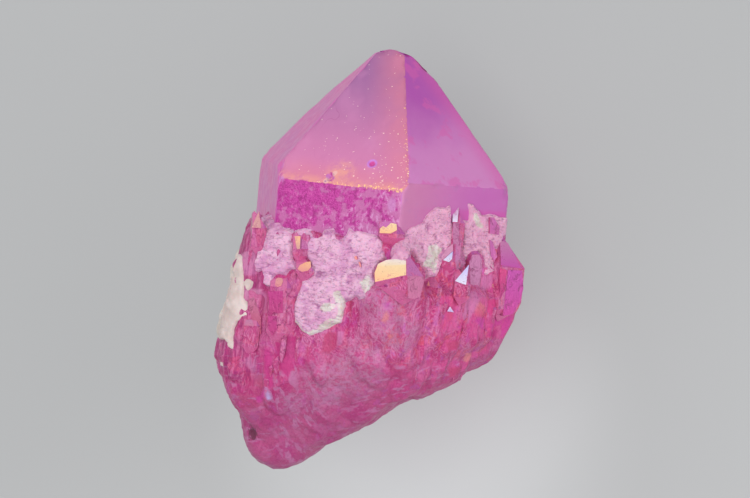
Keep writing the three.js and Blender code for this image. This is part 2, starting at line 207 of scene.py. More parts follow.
# Broad facets of the root itself: the colours at their foot and top, and their outline.
ROOT_FACETS = (
    (MAUVE, MAUVE, ((483, 290), (483, 275), (493, 274), (492, 282), (489, 289))),
    (CORAL, PEACH, ((474, 316.5), (475, 303), (479.5, 301.5), (485, 308), (484, 316.5))),
    (VIOLET, HOT_PINK, ((474.5, 321), (476, 318), (484.5, 317.5), (485.5, 321), (481.5, 328))),
    (RED, RED, ((487, 310), (487.5, 300), (497, 297), (496, 313), (491.5, 316))),
    (HOT_PINK, HOT_PINK, (
        (491.5, 331), (490, 326), (497.5, 314), (498, 297), (503, 300), (506, 308), (501.5, 324))),
    (CARMINE, CERISE, ((487, 336), (489.5, 331), (497, 331), (494, 338))),
    (HOT_PINK, HOT_PINK, ((500, 340), (502, 326), (507, 314), (513, 316), (508, 330))),
    (MAUVE, MAUVE, (
        (463, 318), (462, 310), (466, 301), (469.5, 292), (475, 291.5), (479, 300), (473, 313), (467, 323))),
    (BRICK, BRICK, ((448, 352), (447, 343), (457, 341), (459.5, 346.5))),
    (BRICK, BRICK, ((449.5, 377), (448, 369), (462, 366.5), (459, 373))),
    (ORCHID, MAUVE, ((433, 325), (433, 319), (437, 311), (439.5, 313), (437.5, 325))),
    (CORAL, CORAL, ((447, 323), (447.5, 310), (454, 310), (452.5, 319))),
    (PEACH, PEACH, ((464, 360), (466, 353.5), (471.5, 354), (470, 360), (466, 362))),
    (PEACH, PEACH, ((382, 320), (384, 312), (388, 311), (388.5, 319), (385, 323))),
    (MAUVE, VIOLET, ((384, 310), (386, 303), (390, 302), (389, 311))),
    (PEACH, PEACH, ((388, 335), (392.5, 334), (393, 337.5), (389, 339))),
    (BRICK, BRICK, ((321, 350), (324, 335), (329, 332), (336, 332), (336, 348), (328, 354))),
    (GREY_MAUVE, MAUVE, ((337.5, 346), (338, 331), (344, 332), (342, 345))),
    (CARMINE, CARMINE, ((275, 334), (299, 337), (297, 360), (288, 377), (281, 372), (276, 350))),
    (BRICK, CORAL, ((229, 357), (240.6, 356), (239, 371), (232, 371))),
    (GREY_MAUVE, GREY_MAUVE, ((245, 359), (255, 355), (257, 371), (252.5, 372.5), (246, 364))),
    (CARMINE, BRICK, ((244, 371), (251, 372.5), (254, 395), (249, 394), (245, 382.5))),
    (BRICK, GREY_ROSE, ((253, 374), (260, 375), (264, 385), (261, 390), (255, 385))),
    (CARMINE, CERISE, ((265, 347), (271, 349), (274, 384), (269, 388), (264, 367.5))),
    (BRICK, CARMINE, ((273, 354), (279, 353), (280, 371), (276, 372))),
    (SKY, GREY_MAUVE, ((268, 399), (265, 387), (267, 386), (271.5, 398))),
    (HOT_PINK, HOT_PINK, ((255, 398), (263, 391), (265, 398), (259, 403))),
    (MAUVE, ROCK_PINK, ((242, 270), (241, 255), (254, 249), (257, 262), (255, 274), (247, 276))),
    (ROCK_PINK, ROCK_PINK, ((245, 300), (244, 290), (254, 289), (262, 290), (258, 299))),
    (GREY_ROSE, MAUVE, ((262, 313), (258, 298), (265, 290), (268, 312))),
)
ROOT_FACET_SHARE = 0.75
SKIN_PAINT = (0.9, 0.7)  # the share of the paint in the middle and at the rim of a facet on the skin
FACET_LIFT = 0.07
FACET_DEPTH = 1.2

# Rock matrix that lies over the crystals: outlines in the photograph, and as azimuth and height.
COATED_OUTLINES = (
    (
        (260.5, 213), (271.7, 216), (274, 222), (284, 230), (293, 232), (294, 250), (291.5, 252),
        (292, 260), (296, 264), (297, 268), (288, 270.5), (285, 275), (279, 275.5), (275, 279),
        (273.5, 286), (262.5, 284), (260, 279), (262, 272), (258, 270), (255.5, 262), (257.5, 252),
        (260, 245), (259.5, 238), (262.8, 228),
    ),
    (
        (294, 231), (305, 229), (312, 231), (314, 237), (325, 238.5), (325, 232), (334, 228), (338, 235),
        (343, 240), (350, 228), (361, 232), (374, 235), (379, 237), (382.5, 243), (386.5, 258), (380, 260.5),
        (375, 267), (374, 283), (366, 297), (349, 299), (345, 310), (340.5, 322), (327, 331), (308, 335.5),
        (302.8, 331), (295, 322), (293.5, 311), (294, 303), (301, 289), (302, 283), (300, 277.5), (306, 275),
        (311.7, 270), (309, 258), (309, 236), (294, 235.5),
    ),
    (
        (409, 229), (422, 222), (428, 213), (435.5, 208), (449, 206), (452, 224), (453, 243), (452, 252),
        (443, 260), (436, 275), (431, 279), (427, 277), (424, 270), (417, 262), (411, 253.5), (407, 266),
        (391, 266), (391, 258), (392, 250), (394, 243), (399, 236.5),
    ),
    (
        (463, 220), (467.8, 219), (469, 212), (467.8, 204), (472, 204), (481, 214), (505.5, 216.7),
        (509, 237.8), (501, 236.7), (500, 252), (496.7, 267.8), (495.5, 272), (483, 274), (482, 261),
        (481, 255.6), (471, 253), (464.4, 261), (462, 252), (461, 234),
    ),
)
BARE_OUTLINE = (
    (243, 257), (243, 272), (243.5, 290), (246.5, 300), (249, 308), (248.5, 316), (242, 318), (238, 322),
    (234.5, 330), (232.5, 338), (236, 346), (236, 351), (231, 350), (228, 343), (224, 339), (219, 337),
)
BARE_ISLAND = ((244.5, 282), (249, 279.5), (253.5, 282), (253, 287.5), (248, 289.5))
HIDDEN_BARE_OUTLINES = (
    (
        (-72, -17), (-77, -15.4), (-83, -17), (-90, -14.4), (-94, -10.6), (-102, -11.8), (-108, -8.4),
        (-106, -4), (-107, 0), (-103, 2.2), (-97, 1.4), (-93, -2.4), (-87, -4.4), (-80, -4.8), (-71, -1.6),
        (-60, -3.4), (-50, -2.4),
    ),
    (
        (-149, -3.4), (-142, -5.4), (-132, -7), (-123, -5.6), (-116, -6.4), (-113, -3), (-116, 0.8),
        (-122, 2.8), (-130, 1.2), (-139, 2.8), (-147, 0.8),
    ),
)
# Where matrix swells outwards: azimuth, height, half spread in degrees and in height, and rise.
COATED_SWELLS = ((2, -8.5, 16, 4.2, 0.8), (32.0, 0.9, 5.5, 1.9, 3.0), (69.0, 2.2, 5, 1.6, 0.9))
BARE_SWELLS = (
    (-72, -4.6, 14, 2.8, 0.6), (-76, -13.0, 20, 3.6, 0.8), (-72, -8.2, 16, 1.1, -0.5),
    (-124, -2.5, 16, 4.5, 1.2),
)
COATED_SPAN = (-46, 94, -15, 11)  # lowest and highest azimuth and height that the layer may cover
BARE_SPAN = (-152, -20, -22, 7)
MATRIX_RADIUS = 22.0  # where a degree is measured in millimetres
MATRIX_SPACING = 0.21
MATRIX_LEVELLING = 40  # how many times the ground below it is averaged
MATRIX_SEAT = 0.5  # how deep its rim lies below the ground
MATRIX_THICKNESS = 0.9  # from its rim up to its surface
MATRIX_RIM = (-0.3, 0.25)  # it rises from outside its outline to inside it
MATRIX_SHOULDER = 0.9  # it swells in full from this far inside its outline
MATRIX_INNER = 1.6  # and is at its roughest from this far inside
MATRIX_HIDDEN = -0.35  # what lies deeper than this is left out
MATRIX_FOLDS = (((1, 1, 1), 3.4, 93, 0.07), ((1, 1, 1), 1.1, 97, 0.07))  # as for the root, below
RIM_FOLDS = (((1, 1, 1), 1.9, 81, 0.22),)
RIM_WAVE = (0.16, 0.6, 83)
MATRIX_CHIPS = (0.7, 95, 0.1)  # size, seed and height
MATRIX_CREASES = ((0.7, 1.3, 0.7), 2.4, 3, 99)  # stretch, size, octaves and seed
CREASE_DEPTH, CREASE_WIDTH = 0.14, 0.12
BARE_RIM = (-0.1, 0.1)  # the tint ends from outside the outline of a bare spot to inside it
BARE_RAGGED = (1.1, 3, 101)  # size, octaves and seed of what makes that ragged
BARE_RAGGEDNESS = 0.3

# Where the coat has worn off the tinted matrix, in the photograph.
BARE_SPOTS = (
    ((427, 246), (434, 244), (443, 248), (438, 256), (437, 264), (433, 272), (430, 268), (424, 265),
     (426, 256)),
    ((470, 211), (475, 215), (481, 226), (482, 229), (477, 229), (473, 222)),
    ((360, 281), (368, 275), (373, 282), (370, 290), (366, 292.5), (363, 285)),
    ((324, 304), (331, 302), (336, 306), (333, 311), (325, 309)),
    ((334, 293), (340, 292), (345, 302), (344, 312), (339, 323), (327, 331), (308, 335.5), (300, 330),
     (295, 320), (299, 322), (306, 331), (318, 330), (328, 321), (337, 319), (341, 304)),
    ((250, 281), (254, 281), (254, 288), (249, 288)),
)

# Marks on the main crystal, in the crystal frame.
PIT_PLACE = np.array((5.0, 14.2, 17.2))
PIT_RADIUS = 0.75
PIT_DEPTH = 0.22
PIT_WALL = (0.3, 0.9)  # the wall's foot and top as shares of the radius
PIT_RIM = 0.06
PIT_RIM_WIDTH = 0.3
NOTCH_PLACE = np.array((-0.9, 11.6, 19.3))
NOTCH_RADIUS = 0.8
NOTCH_DEPTH = 0.45
NOTCH_WALL = (0.3, 1.1)
NOTCH_SCALE = np.array((1.3, 0.8, 1.0))  # it is longer than it is wide
NOTCH_WAY = (0.5, 0.73, -0.47)
GLINT_CORNER = (10.6, 9.6, 20.1)  # the sharp corner that glints
OVAL_PLACE = (10.0, 8.4, 20.1)  # a worn oval on the front prism face

# A clot of dirt near the foot and a scratched place on the front cap face, in the photograph.
DIRT_PIXEL = (252, 433)
DIRT_DEPTH = 0.6
DIRT_SPREAD = 0.8  # in square millimetres
SCRATCH_PIXEL = (329, 115)

# Where the root's coat is worn to a greyish lilac: the photograph's pixel, and how far it reaches.
WORN_PLACES = (
    ((326, 386), 6.0), ((356, 372), 6.5), ((293, 402), 3.6), ((362, 356), 4.5), ((398, 332), 5.0),
    ((384, 300), 6.0),
)

# Relief of the main crystal. Each wave is a height, a size and a seed.
MAIN_WAVES = ((0.035, 5.0, 3), (0.012, 1.5, 5))
BAND_WAVE = (0.014, 1.0, 8)
BAND_SCALE = np.array((0.12, 1.6, 0.12))
BAND_RISE = (0.1, 0.6)  # how far below the cap the bands begin
EDGE_WIDTH = 0.3
EDGE_WEAR = 0.05
ROUGH_WEAR = (0.16, 1.3, 11)
CHIP_WEAR = (0.15, 2.6, 14)
CHIP_LEVELS = (0.55, 0.8)  # where the chips' wave is higher than this the edge is chipped
TIP_WIDTH = 1.5  # how far its corners are rounded
TIP_WEAR = 0.5
TIP_SPARED = (5.0, 2.5)  # how far from the sharp corner the rounding fades away

# Relief of the root: columns along the c axis, broken facets and broad slabs. Each of their folded
# fields is a stretch, a size, a seed and a weight.
ROOT_COLUMNS = (((1, 0.14, 1), 1.5, 21, 1.0), ((1, 0.2, 1), 0.8, 27, 0.6))
ROOT_BREAKS = (((1, 1, 1), 1.8, 41, 1.0), ((1, 1, 1), 0.9, 45, 0.8))
ROOT_SLABS = (((1, 0.7, 1), 5.0, 33, 1.0),)
COLUMN_HEIGHT = 0.14
BREAK_HEIGHT = 0.09
SLAB_HEIGHT = 0.12
COLUMN_FEET = (-21.0, -11.0)  # the heights between which columns give way to broken facets
COLUMN_LEFT = (-7.0, -12.0)  # from here leftward columns reach farther down
COLUMN_LEFT_DROP = 6.0
FACET_FLATTENING = 0.7  # the share of the relief that a broad facet loses
SIDE_FLATTENING = 0.8  # and that the side with broad facets loses
SIDE_FADE = (8, 4)  # how far outside and inside that side's azimuths it fades, in degrees
FOOT_FADE = (3, 2)  # and below and above its foot
PAINT_RIM = (-0.2, 0.15)  # how far outside and inside its outline a broad facet's colour fades
PAINT_RAGGED = (0.12, 0.7, 61)  # the wave that makes that ragged

# The meshes.
MAIN_SPACING = 0.36  # between the points on the main crystal's faces
ROOT_QUADS = 126  # along each edge of the cube that is blown up into the root
BURIED = 1.5  # what lies deeper inside another piece than this is left out
MAIN_CREASE, ROOT_CREASE, MATRIX_CREASE = 24, 38, 30  # the angles at which an edge looks sharp
TOLERANCE = 1e-6
TOUCHING = 1e-3  # how near to a plane its corners lie

# The camera, with its angles in degrees.
CAMERA_AZIMUTH = 21.6
CAMERA_ELEVATION = 3.7
CAMERA_LEAN = 5.5
CAMERA_DISTANCE = 500.0  # from the c axis
CAMERA_LENS = 150.0
SENSOR_WIDTH = 36.0
PHOTO_MIDDLE = (375.0, 249.0)
PHOTO_WIDTH = 750
PIXEL = SENSOR_WIDTH / CAMERA_LENS * CAMERA_DISTANCE / PHOTO_WIDTH  # a photo pixel at the specimen

# A line of sight is searched in steps from behind the c axis to before it, then by halving a step.
SIGHT_BEHIND, SIGHT_BEFORE = 10.0, 35.0
SIGHT_STEP = 0.5
SIGHT_HALVINGS = 6
WIDEST = 40.0  # nothing on the specimen is farther from the c axis
RADIUS_HALVINGS = 13

# The studio. Each light has a name, a direction, a distance and size in metres, watts and a colour.
LIGHTS = (
    ("front", (0.15, 0.2, 1.0), 0.9, 0.8, 5.0, (1, 1, 1)),
    ("point_side", (-0.368, 0.887, 0.40), 0.6, 0.35, 0.35, (1.0, 0.97, 0.93)),
    ("right_side", (1.0, 0.1, 0.45), 0.8, 0.6, 2.2, (1, 1, 1)),
    ("left_side", (-1.0, 0.35, 0.5), 0.8, 0.6, 1.5, (1, 1, 1)),
    ("foot_side", (0.3, -0.9, 0.7), 0.9, 0.6, 1.0, (1, 1, 1)),
)
SKY_COLOUR = (0.92, 0.95, 1.0, 1)
SKY_STRENGTH = 0.45
FLOOR_REACH = 3.0  # from its middle to each edge, in metres
FLOOR_POINTS = 9  # along each edge
# LIGHT_POOL is the middle of a pool of light painted on the floor beside the foot, offsetting the specimen's
# shadow.
LIGHT_POOL = (2.0, -30.0, -REST_DEPTH)  # the middle of its palest part, in the crystal frame

# Numbers that turn a whole number into chance, and the ways and the bend of folded fields.
SCRAMBLE_STEP, SCRAMBLE_START, SCRAMBLE_SCALE = 127.1, 11.7, 43758.5453
LATTICE_MIX = np.array((127.1, 311.7, 74.7))
LATTICE_SEED_STEP = 17.23
FOLD_WAYS = 4
FOLD_BEND, FOLD_BEND_SIZE = 0.45, 1.6


def outward(azimuth):
    """The level direction at an azimuth, square to the c axis."""
    angle = np.radians(azimuth)
    return np.stack((np.sin(angle), np.zeros_like(angle), np.cos(angle)), axis=-1)


def tilted(azimuth, tilt):
    """The outward direction turned up towards the point by a tilt in degrees."""
    angle = math.radians(tilt)
    return outward(azimuth) * math.cos(angle) + C_AXIS * math.sin(angle)


def chance(seed):
    """A repeatable number from 0 to 1 for each whole number."""
    value = math.sin(seed * SCRAMBLE_STEP + SCRAMBLE_START) * SCRAMBLE_SCALE
    return value - math.floor(value)


def between(limits, share):
    """The number that lies a share of the way from the first limit to the second."""
    return limits[0] + (limits[1] - limits[0]) * share


def smooth_step(low, high, value):
    """A smooth rise from 0 to 1 as a value goes from low to high."""
    share = np.clip((value - low) / (high - low), 0, 1)
    return share * share * (3 - 2 * share)


def unit(vectors):
    """The direction of each vector."""
    return vectors / np.linalg.norm(vectors, axis=-1)[..., None]


def azimuth_of(points):
    """Each point's azimuth in degrees, from -180 to 180."""
    return np.degrees(np.arctan2(points[:, 0], points[:, 2]))


def place_at(azimuth, radius, height):
    """The point at each azimuth, distance from the c axis and height."""
    return outward(azimuth) * np.reshape(radius, (-1, 1)) + C_AXIS * height[:, None]


# Fields over space.


def lattice(cells, seed):
    """A repeatable number from 0 to 1 for each whole-number cell."""
    value = np.sin(cells @ LATTICE_MIX + seed * LATTICE_SEED_STEP) * SCRAMBLE_SCALE
    return value - np.floor(value)


def noise(points, size, seed):
    """A smooth field from -1 to 1 whose features are about one size apart."""
    scaled = points / size
    cell = np.floor(scaled)
    part = scaled - cell
    part = part * part * (3 - 2 * part)
    total = np.zeros(len(points))
    for corner in itertools.product((0, 1), repeat=3):
        weight = np.prod(np.where(corner, part, 1 - part), axis=-1)
        total += weight * lattice(cell + corner, seed)
    return total * 2 - 1


def wave(points, height, size, seed):
    """Noise from minus its height to its height."""
    return height * noise(points, size, seed)


def fractal(points, size, octaves, seed):
    """Noise with finer, weaker noise laid over it."""
    total = np.zeros(len(points))
    for octave in range(octaves):
        total += noise(points, size / 2**octave, seed + octave * 31) / 2**octave
    return total


def chips(points, size, seed):
    """A broken-looking field of flat, tilted facets, from about -1 to 1."""
    scaled = points / size
    cell = np.floor(scaled)
    nearest = np.full(len(points), np.inf)
    height = np.zeros(len(points))
    for step in itertools.product((-1, 0, 1), repeat=3):
        corner = cell + step
        jitter = np.stack([lattice(corner, seed + i) for i in range(3)], axis=-1)
        slope = np.stack([lattice(corner, seed + 5 + i) for i in range(3)], axis=-1) * 2 - 1
        away = scaled - corner - jitter
        distance = (away**2).sum(axis=-1)
        closer = distance < nearest
        height = np.where(closer, (away * slope).sum(axis=-1), height)
        nearest = np.minimum(nearest, distance)
    return height


def folds(points, size, seed):
    """A continuous field of flat facets that meet in creases, from about -1 to 1."""
    bent = points / size
    bent = bent + FOLD_BEND * np.stack([noise(bent, FOLD_BEND_SIZE, seed + i) for i in range(3)], axis=-1)
    total = np.zeros(len(points))
    for i in range(FOLD_WAYS):
        way = np.array([chance(seed * 7 + i * 3 + j) - 0.5 for j in range(3)])
        wave = bent @ way / np.linalg.norm(way) * (0.6 + 0.5 * chance(seed + i)) + chance(seed + i + 9)
        total += np.abs(wave % 1 * 2 - 1) * 2 - 1
    return total / math.sqrt(FOLD_WAYS)


def folds_of(points, rows):
    """Folded fields laid over each other: each has a stretch, a size, a seed and a weight."""
    return sum(weight * folds(points * np.array(scale), size, seed) for scale, size, seed, weight in rows)


def bumps(points, scale):
    """The CAD root's bumpy field of about -1 to 1."""
    x, y, z = (points / scale).T
    broad = np.sin(x + 1.7 * np.sin(y)) * np.cos(z + 1.3 * np.sin(x))
    fine = np.sin(2.3 * y + 1.9 * np.cos(2.1 * z)) * np.cos(2.7 * x + z)
    return 0.6 * broad + 0.4 * fine


# Crystals as convex solids.


@functools.lru_cache(maxsize=None)
def triples(count):
    """Every choice of three planes out of so many."""
    return np.array(list(itertools.combinations(range(count), 3)))


AZIMUTHS = FACE_STEP * np.arange(FACE_COUNT)
PRISM_POLES = outward(AZIMUTHS)
CAP_POLES = tilted(AZIMUTHS, 90 - CAP_TILT)
MAIN_NORMALS = np.vstack((PRISM_POLES, CAP_POLES, -C_AXIS))
MAIN_REACHES = np.array(MAIN_PRISM + MAIN_CAP + (-MAIN_FOOT,))


@functools.lru_cache(maxsize=None)
def habit(heel_dip):
    """The normals of a doubly pointed crystal whose lower faces dip below level."""
    return np.vstack((PRISM_POLES, CAP_POLES, tilted(AZIMUTHS, -heel_dip)))


def solid(normals, reaches):
    """The corners of the convex solid inside every plane, and each plane's ring of corner numbers."""
    picks = triples(len(reaches))
    matrices = normals[picks]
    meets = np.abs(np.linalg.det(matrices)) > TOLERANCE
    wanted = reaches[picks[meets]][..., None]
    points = np.linalg.solve(matrices[meets], wanted)[..., 0]
    inside = (points @ normals.T <= reaches + TOLERANCE).all(axis=1)
    corners = np.unique(np.round(points[inside], 5), axis=0)
    rings = []
    for normal, reach in zip(normals, reaches):
        touching = np.flatnonzero(np.abs(corners @ normal - reach) < TOUCHING)
        rings.append(in_order(corners, touching, normal) if len(touching) > 2 else [])
    return corners, rings


def in_order(corners, touching, normal):
    """The corners of one face in order round its normal."""
    spokes = corners[touching] - corners[touching].mean(axis=0)
    turn = np.arctan2(spokes @ np.cross(normal, spokes[0]), spokes @ spokes[0])
    return list(touching[np.argsort(turn)])


def overgrowth_reaches(width, top, foot, seed, heel_dip=HEEL_DIP):
    """The uneven face distances that the CAD model gives an overgrowth."""
    cap_drop = math.cos(math.radians(CAP_TILT))
    heel_drop = math.sin(math.radians(heel_dip))
    share = [chance(seed * 31 + k) for k in range(20)]
    prism = [width * (1 - PRISM_SPREAD * share[k]) for k in range(FACE_COUNT)]
    cap = [top * cap_drop + width * CAP_SPREAD * share[k + 7] for k in range(FACE_COUNT)]
    heel = [-foot * heel_drop + width * HEEL_SPREAD * share[k + 13] for k in range(FACE_COUNT)]
    return np.array(prism + cap + heel)


# The skin of the specimen as a distance from the c axis.

ROOT_NORMALS = np.array([tilted(azimuth, -dip) for azimuth, dip, _ in ROOT_SIDES] + [C_AXIS])
ROOT_DISTANCES = np.array([distance for _, _, distance in ROOT_SIDES] + [ROOT_TOP])
LIMIT_MARGINS = [GROWTH_DIP_LIMIT if dip > 0 else GROWTH_LEVEL_LIMIT for _, dip, _ in ROOT_SIDES]
LIMIT_DISTANCES = ROOT_DISTANCES + np.array(LIMIT_MARGINS + [GROWTH_TOP_LIMIT])

# The planes of the dipping underside, which no crystal stands out of by more than its limit.
UNDERSIDE = np.array([dip > 0 for _, dip, _ in ROOT_SIDES] + [False])
UNDERSIDE_NORMALS = ROOT_NORMALS[UNDERSIDE]
UNDERSIDE_REACHES = (ROOT_DISTANCES + ROOT_NORMALS @ ROOT_MIDDLE)[UNDERSIDE] + GROWTH_DIP_LIMIT


def root_reach(directions, distances=ROOT_DISTANCES):
    """How far the root reaches from its middle in each direction."""
    share = np.maximum(0, directions @ ROOT_NORMALS.T / distances)
    return (share**ROOT_SHARPNESS).sum(axis=-1) ** (-1 / ROOT_SHARPNESS)


def root_depth(points, distances=ROOT_DISTANCES):
    """How far below the root's surface each point lies."""
    arms = points - ROOT_MIDDLE
    return root_reach(unit(arms), distances) - np.linalg.norm(arms, axis=-1)


def leaving(starts, directions, normals, reaches):
    """How far along each ray it leaves a convex solid, or 0 where it misses."""
    rate = directions @ normals.T
    room = reaches - starts @ normals.T
    with np.errstate(divide="ignore", invalid="ignore"):
        way = room / rate
    leave = np.where(rate > TOLERANCE, way, np.inf).min(axis=1)
    enter = np.where(rate < -TOLERANCE, way, -np.inf).max(axis=1)
    blocked = ((np.abs(rate) <= TOLERANCE) & (room < 0)).any(axis=1)
    return np.where((leave > np.maximum(enter, 0)) & ~blocked, leave, 0)


def root_radius(azimuth, height, distances=ROOT_DISTANCES):
    """The distance from the c axis at which the root ends, by halving."""
    low = np.zeros(len(azimuth))
    high = np.full(len(azimuth), WIDEST)
    for _ in range(RADIUS_HALVINGS):
        radius = (low + high) / 2
        inside = root_depth(place_at(azimuth, radius, height), distances) > 0
        low = np.where(inside, radius, low)
        high = np.where(inside, high, radius)
    return low


# What a pixel of the photograph shows.


def camera_axes():
    """The camera's right, up and backward directions, from its three angles."""
    elevation = math.radians(CAMERA_ELEVATION)
    lean = math.radians(CAMERA_LEAN)
    level = outward(CAMERA_AZIMUTH)
    back = level * math.cos(elevation) + C_AXIS * math.sin(elevation)
    right = outward(CAMERA_AZIMUTH + 90)
    up = C_AXIS * math.cos(elevation) - level * math.sin(elevation)
    leaned_right = right * math.cos(lean) + up * math.sin(lean)
    leaned_up = up * math.cos(lean) - right * math.sin(lean)
    return leaned_right, leaned_up, back


def sight_lines(pixels):
    """The camera's place and the directions in which it sees some pixels."""
    right, up, back = camera_axes()
    steps = (np.array(pixels, float) - PHOTO_MIDDLE) * PIXEL
    start = back * CAMERA_DISTANCE
    return start, unit(steps[:, :1] * right - steps[:, 1:] * up - start)


def seen_on_plane(pixels, normal, distance):
    """Where the lines of sight meet a plane."""
    start, ways = sight_lines(pixels)
    return start + ways * ((distance - start @ normal) / (ways @ normal))[:, None]


class Skin:
    """The specimen's surface: the root with its growths, moved by marks, and the main crystal."""

    def __init__(self, growths):
        self.growths = growths
        self.marks = np.zeros((0, 3))
        self.shifts = np.zeros(0)

    def shift(self, directions):
        """How far the marks move the surface in each direction from the root's middle."""
        if not len(self.marks):
            return np.zeros(len(directions))
        weights = np.exp((directions @ self.marks.T - 1) / math.radians(MARK_SPREAD) ** 2)
        return weights @ self.shifts / (weights.sum(axis=1) + MARK_FADE)

    def add_marks(self, directions, shifts):
        """Adds directions from the root's middle, and how far the surface moves in each."""
        self.marks = np.vstack((self.marks, directions))
        self.shifts = np.concatenate((self.shifts, shifts))

    def reach(self, directions):
        """How far the root with its growths reaches from its middle in each direction."""
        grown = np.zeros(len(directions))
        for reaches, centre in self.growths:
            start = ROOT_MIDDLE - centre
            grown = np.maximum(grown, leaving(start, directions, habit(HEEL_DIP), reaches))
        limited = np.minimum(grown, root_reach(directions, LIMIT_DISTANCES))
        return np.maximum(root_reach(directions), limited) + self.shift(directions)

    def radius(self, azimuth, height):
        """How far the surface is from the c axis at each azimuth and height."""
        starts = C_AXIS * height[:, None]
        level = outward(azimuth)
        grown = np.zeros(len(azimuth))
        for reaches, centre in self.growths:
            grown = np.maximum(grown, leaving(starts - centre, level, habit(HEEL_DIP), reaches))
        limited = np.minimum(grown, root_radius(azimuth, height, LIMIT_DISTANCES))
        grown = np.maximum(root_radius(azimuth, height), limited)
        directions = unit(place_at(azimuth, grown, height) - ROOT_MIDDLE)
        slope = np.maximum(STEEPEST, (directions * level).sum(axis=1))
        grown = grown + self.shift(directions) / slope
        return np.maximum(grown, leaving(starts, level, MAIN_NORMALS, MAIN_REACHES))

    def seen(self, pixels, solids=()):
        """Where the lines of sight first meet the specimen or one of some solids."""
        start, ways = sight_lines(pixels)
        farthest = CAMERA_DISTANCE + SIGHT_BEHIND
        near = np.full(len(ways), farthest)
        for away in np.arange(farthest, CAMERA_DISTANCE - SIGHT_BEFORE, -SIGHT_STEP):
            near = np.where(self.holds(start + ways * away, solids), away, near)
        low, high = near - SIGHT_STEP, near
        for _ in range(SIGHT_HALVINGS):
            middle = (low + high) / 2
            inside = self.holds(start + ways * middle[:, None], solids)
            high = np.where(inside, middle, high)
            low = np.where(inside, low, middle)
        return start + ways * high[:, None]

    def holds(self, points, solids):
        """Whether each point is inside the specimen or one of some solids."""
        arms = points - ROOT_MIDDLE
        inside = self.reach(unit(arms)) > np.linalg.norm(arms, axis=1)
        inside |= (points @ MAIN_NORMALS.T < MAIN_REACHES).all(axis=1)
        for reaches in solids:
            inside |= (points @ habit(CORNER_HEEL_DIP).T < reaches).all(axis=1)
        return inside

    def places(self, pixels):
        """The azimuth and height of what some pixels show."""
        points = self.seen(pixels)
        return tuple(zip(azimuth_of(points), points[:, 1]))

    def swell(self, swells):
        """Raises the surface at some pixels."""
        arms = self.seen([pixel for pixel, _ in swells]) - ROOT_MIDDLE
        self.add_marks(unit(arms), np.array([rise for _, rise in swells]))

    def fit_outline(self, pixels):
        """Moves the surface until its outline passes through some pixels."""
        start, ways = sight_lines(pixels)
        away = np.arange(CAMERA_DISTANCE - OUTLINE_SPAN, CAMERA_DISTANCE + OUTLINE_SPAN, SIGHT_STEP)
        arms = start + ways[:, None] * away[:, None] - ROOT_MIDDLE
        lengths = np.linalg.norm(arms, axis=-1)
        directions = unit(arms)
        rows = np.arange(len(pixels))
        first = len(self.marks)
        for turn in range(OUTLINE_ROUNDS):
            reach = self.reach(directions.reshape(-1, 3)).reshape(lengths.shape)
            closest = (lengths - reach).argmin(axis=1)
            gaps = (lengths - reach)[rows, closest]
            shifts = self.shift(directions[rows, closest]) + gaps
            self.shifts[first:] += np.tile(gaps, turn)
            self.add_marks(directions[rows, closest], shifts)


# Meshes.


def mesh_object(name, points, faces, numbers=None, face_numbers=None):
    """A mesh object from crystal-frame points, with named numbers per point or per face."""
    mesh = bpy.data.meshes.new(name)
    placed = (np.asarray(points) + AXIS) * METRE
    placed[:, 2] = np.maximum(placed[:, 2], 0)
    mesh.from_pydata(placed.tolist(), [], faces)
    for domain, group in (("POINT", numbers or {}), ("FACE", face_numbers or {})):
        for key, values in group.items():
            attribute = mesh.attributes.new(key, "FLOAT", domain)
            attribute.data.foreach_set("value", np.asarray(values, np.float32))
    mesh.validate()
    mesh.update()
    piece = bpy.data.objects.new(name, mesh)
    bpy.context.scene.collection.objects.link(piece)
    return piece


def weld(points, faces):
    """Joins points that share a place."""
    _, kept, places = np.unique(np.round(points, 4), axis=0, return_index=True, return_inverse=True)
    places = places.reshape(-1)
    return points[kept], [[int(places[i]) for i in face] for face in faces]


def point_normals(points, faces):
    """Each point's normal, averaged over its faces."""
    corners = np.array([face[:3] for face in faces])
    a, b, c = (points[corners[:, i]] for i in range(3))
    across = np.cross(b - a, c - a)
    normals = np.zeros_like(points)
    for i in range(3):
        np.add.at(normals, corners[:, i], across)
    return normals / np.maximum(np.linalg.norm(normals, axis=1), 1e-9)[:, None]


def smooth_shading(piece, crease):
    """Smooth shading, with a crease wherever faces meet at more than an angle in degrees."""
    piece.data.shade_smooth()
    piece.data.set_sharp_from_angle(angle=math.radians(crease))


def filled_face(ring, normal, spacing):
    """A flat face cut into even triangles."""
    u = ring[1] - ring[0]
    u = u / np.linalg.norm(u)
    v = np.cross(normal, u)
    flat = np.stack(((ring - ring[0]) @ u, (ring - ring[0]) @ v), axis=-1)
    rim = []
    for start, end in zip(flat, np.roll(flat, -1, axis=0)):
        cuts = max(1, round(float(np.linalg.norm(end - start)) / spacing))
        rim += [start + (end - start) * i / cuts for i in range(cuts)]
    rim = np.array(rim)
    inner = hex_grid(flat, spacing)
    spots = [Vector(p) for p in np.vstack((rim, inner))]
    edges = [(i, (i + 1) % len(rim)) for i in range(len(rim))]
    made = delaunay_2d_cdt(spots, edges, [list(range(len(rim)))], 1, 1e-5)
    places = np.array([tuple(p) for p in made[0]])
    points = ring[0] + places[:, :1] * u + places[:, 1:2] * v
    return points, [list(face) for face in made[2]]


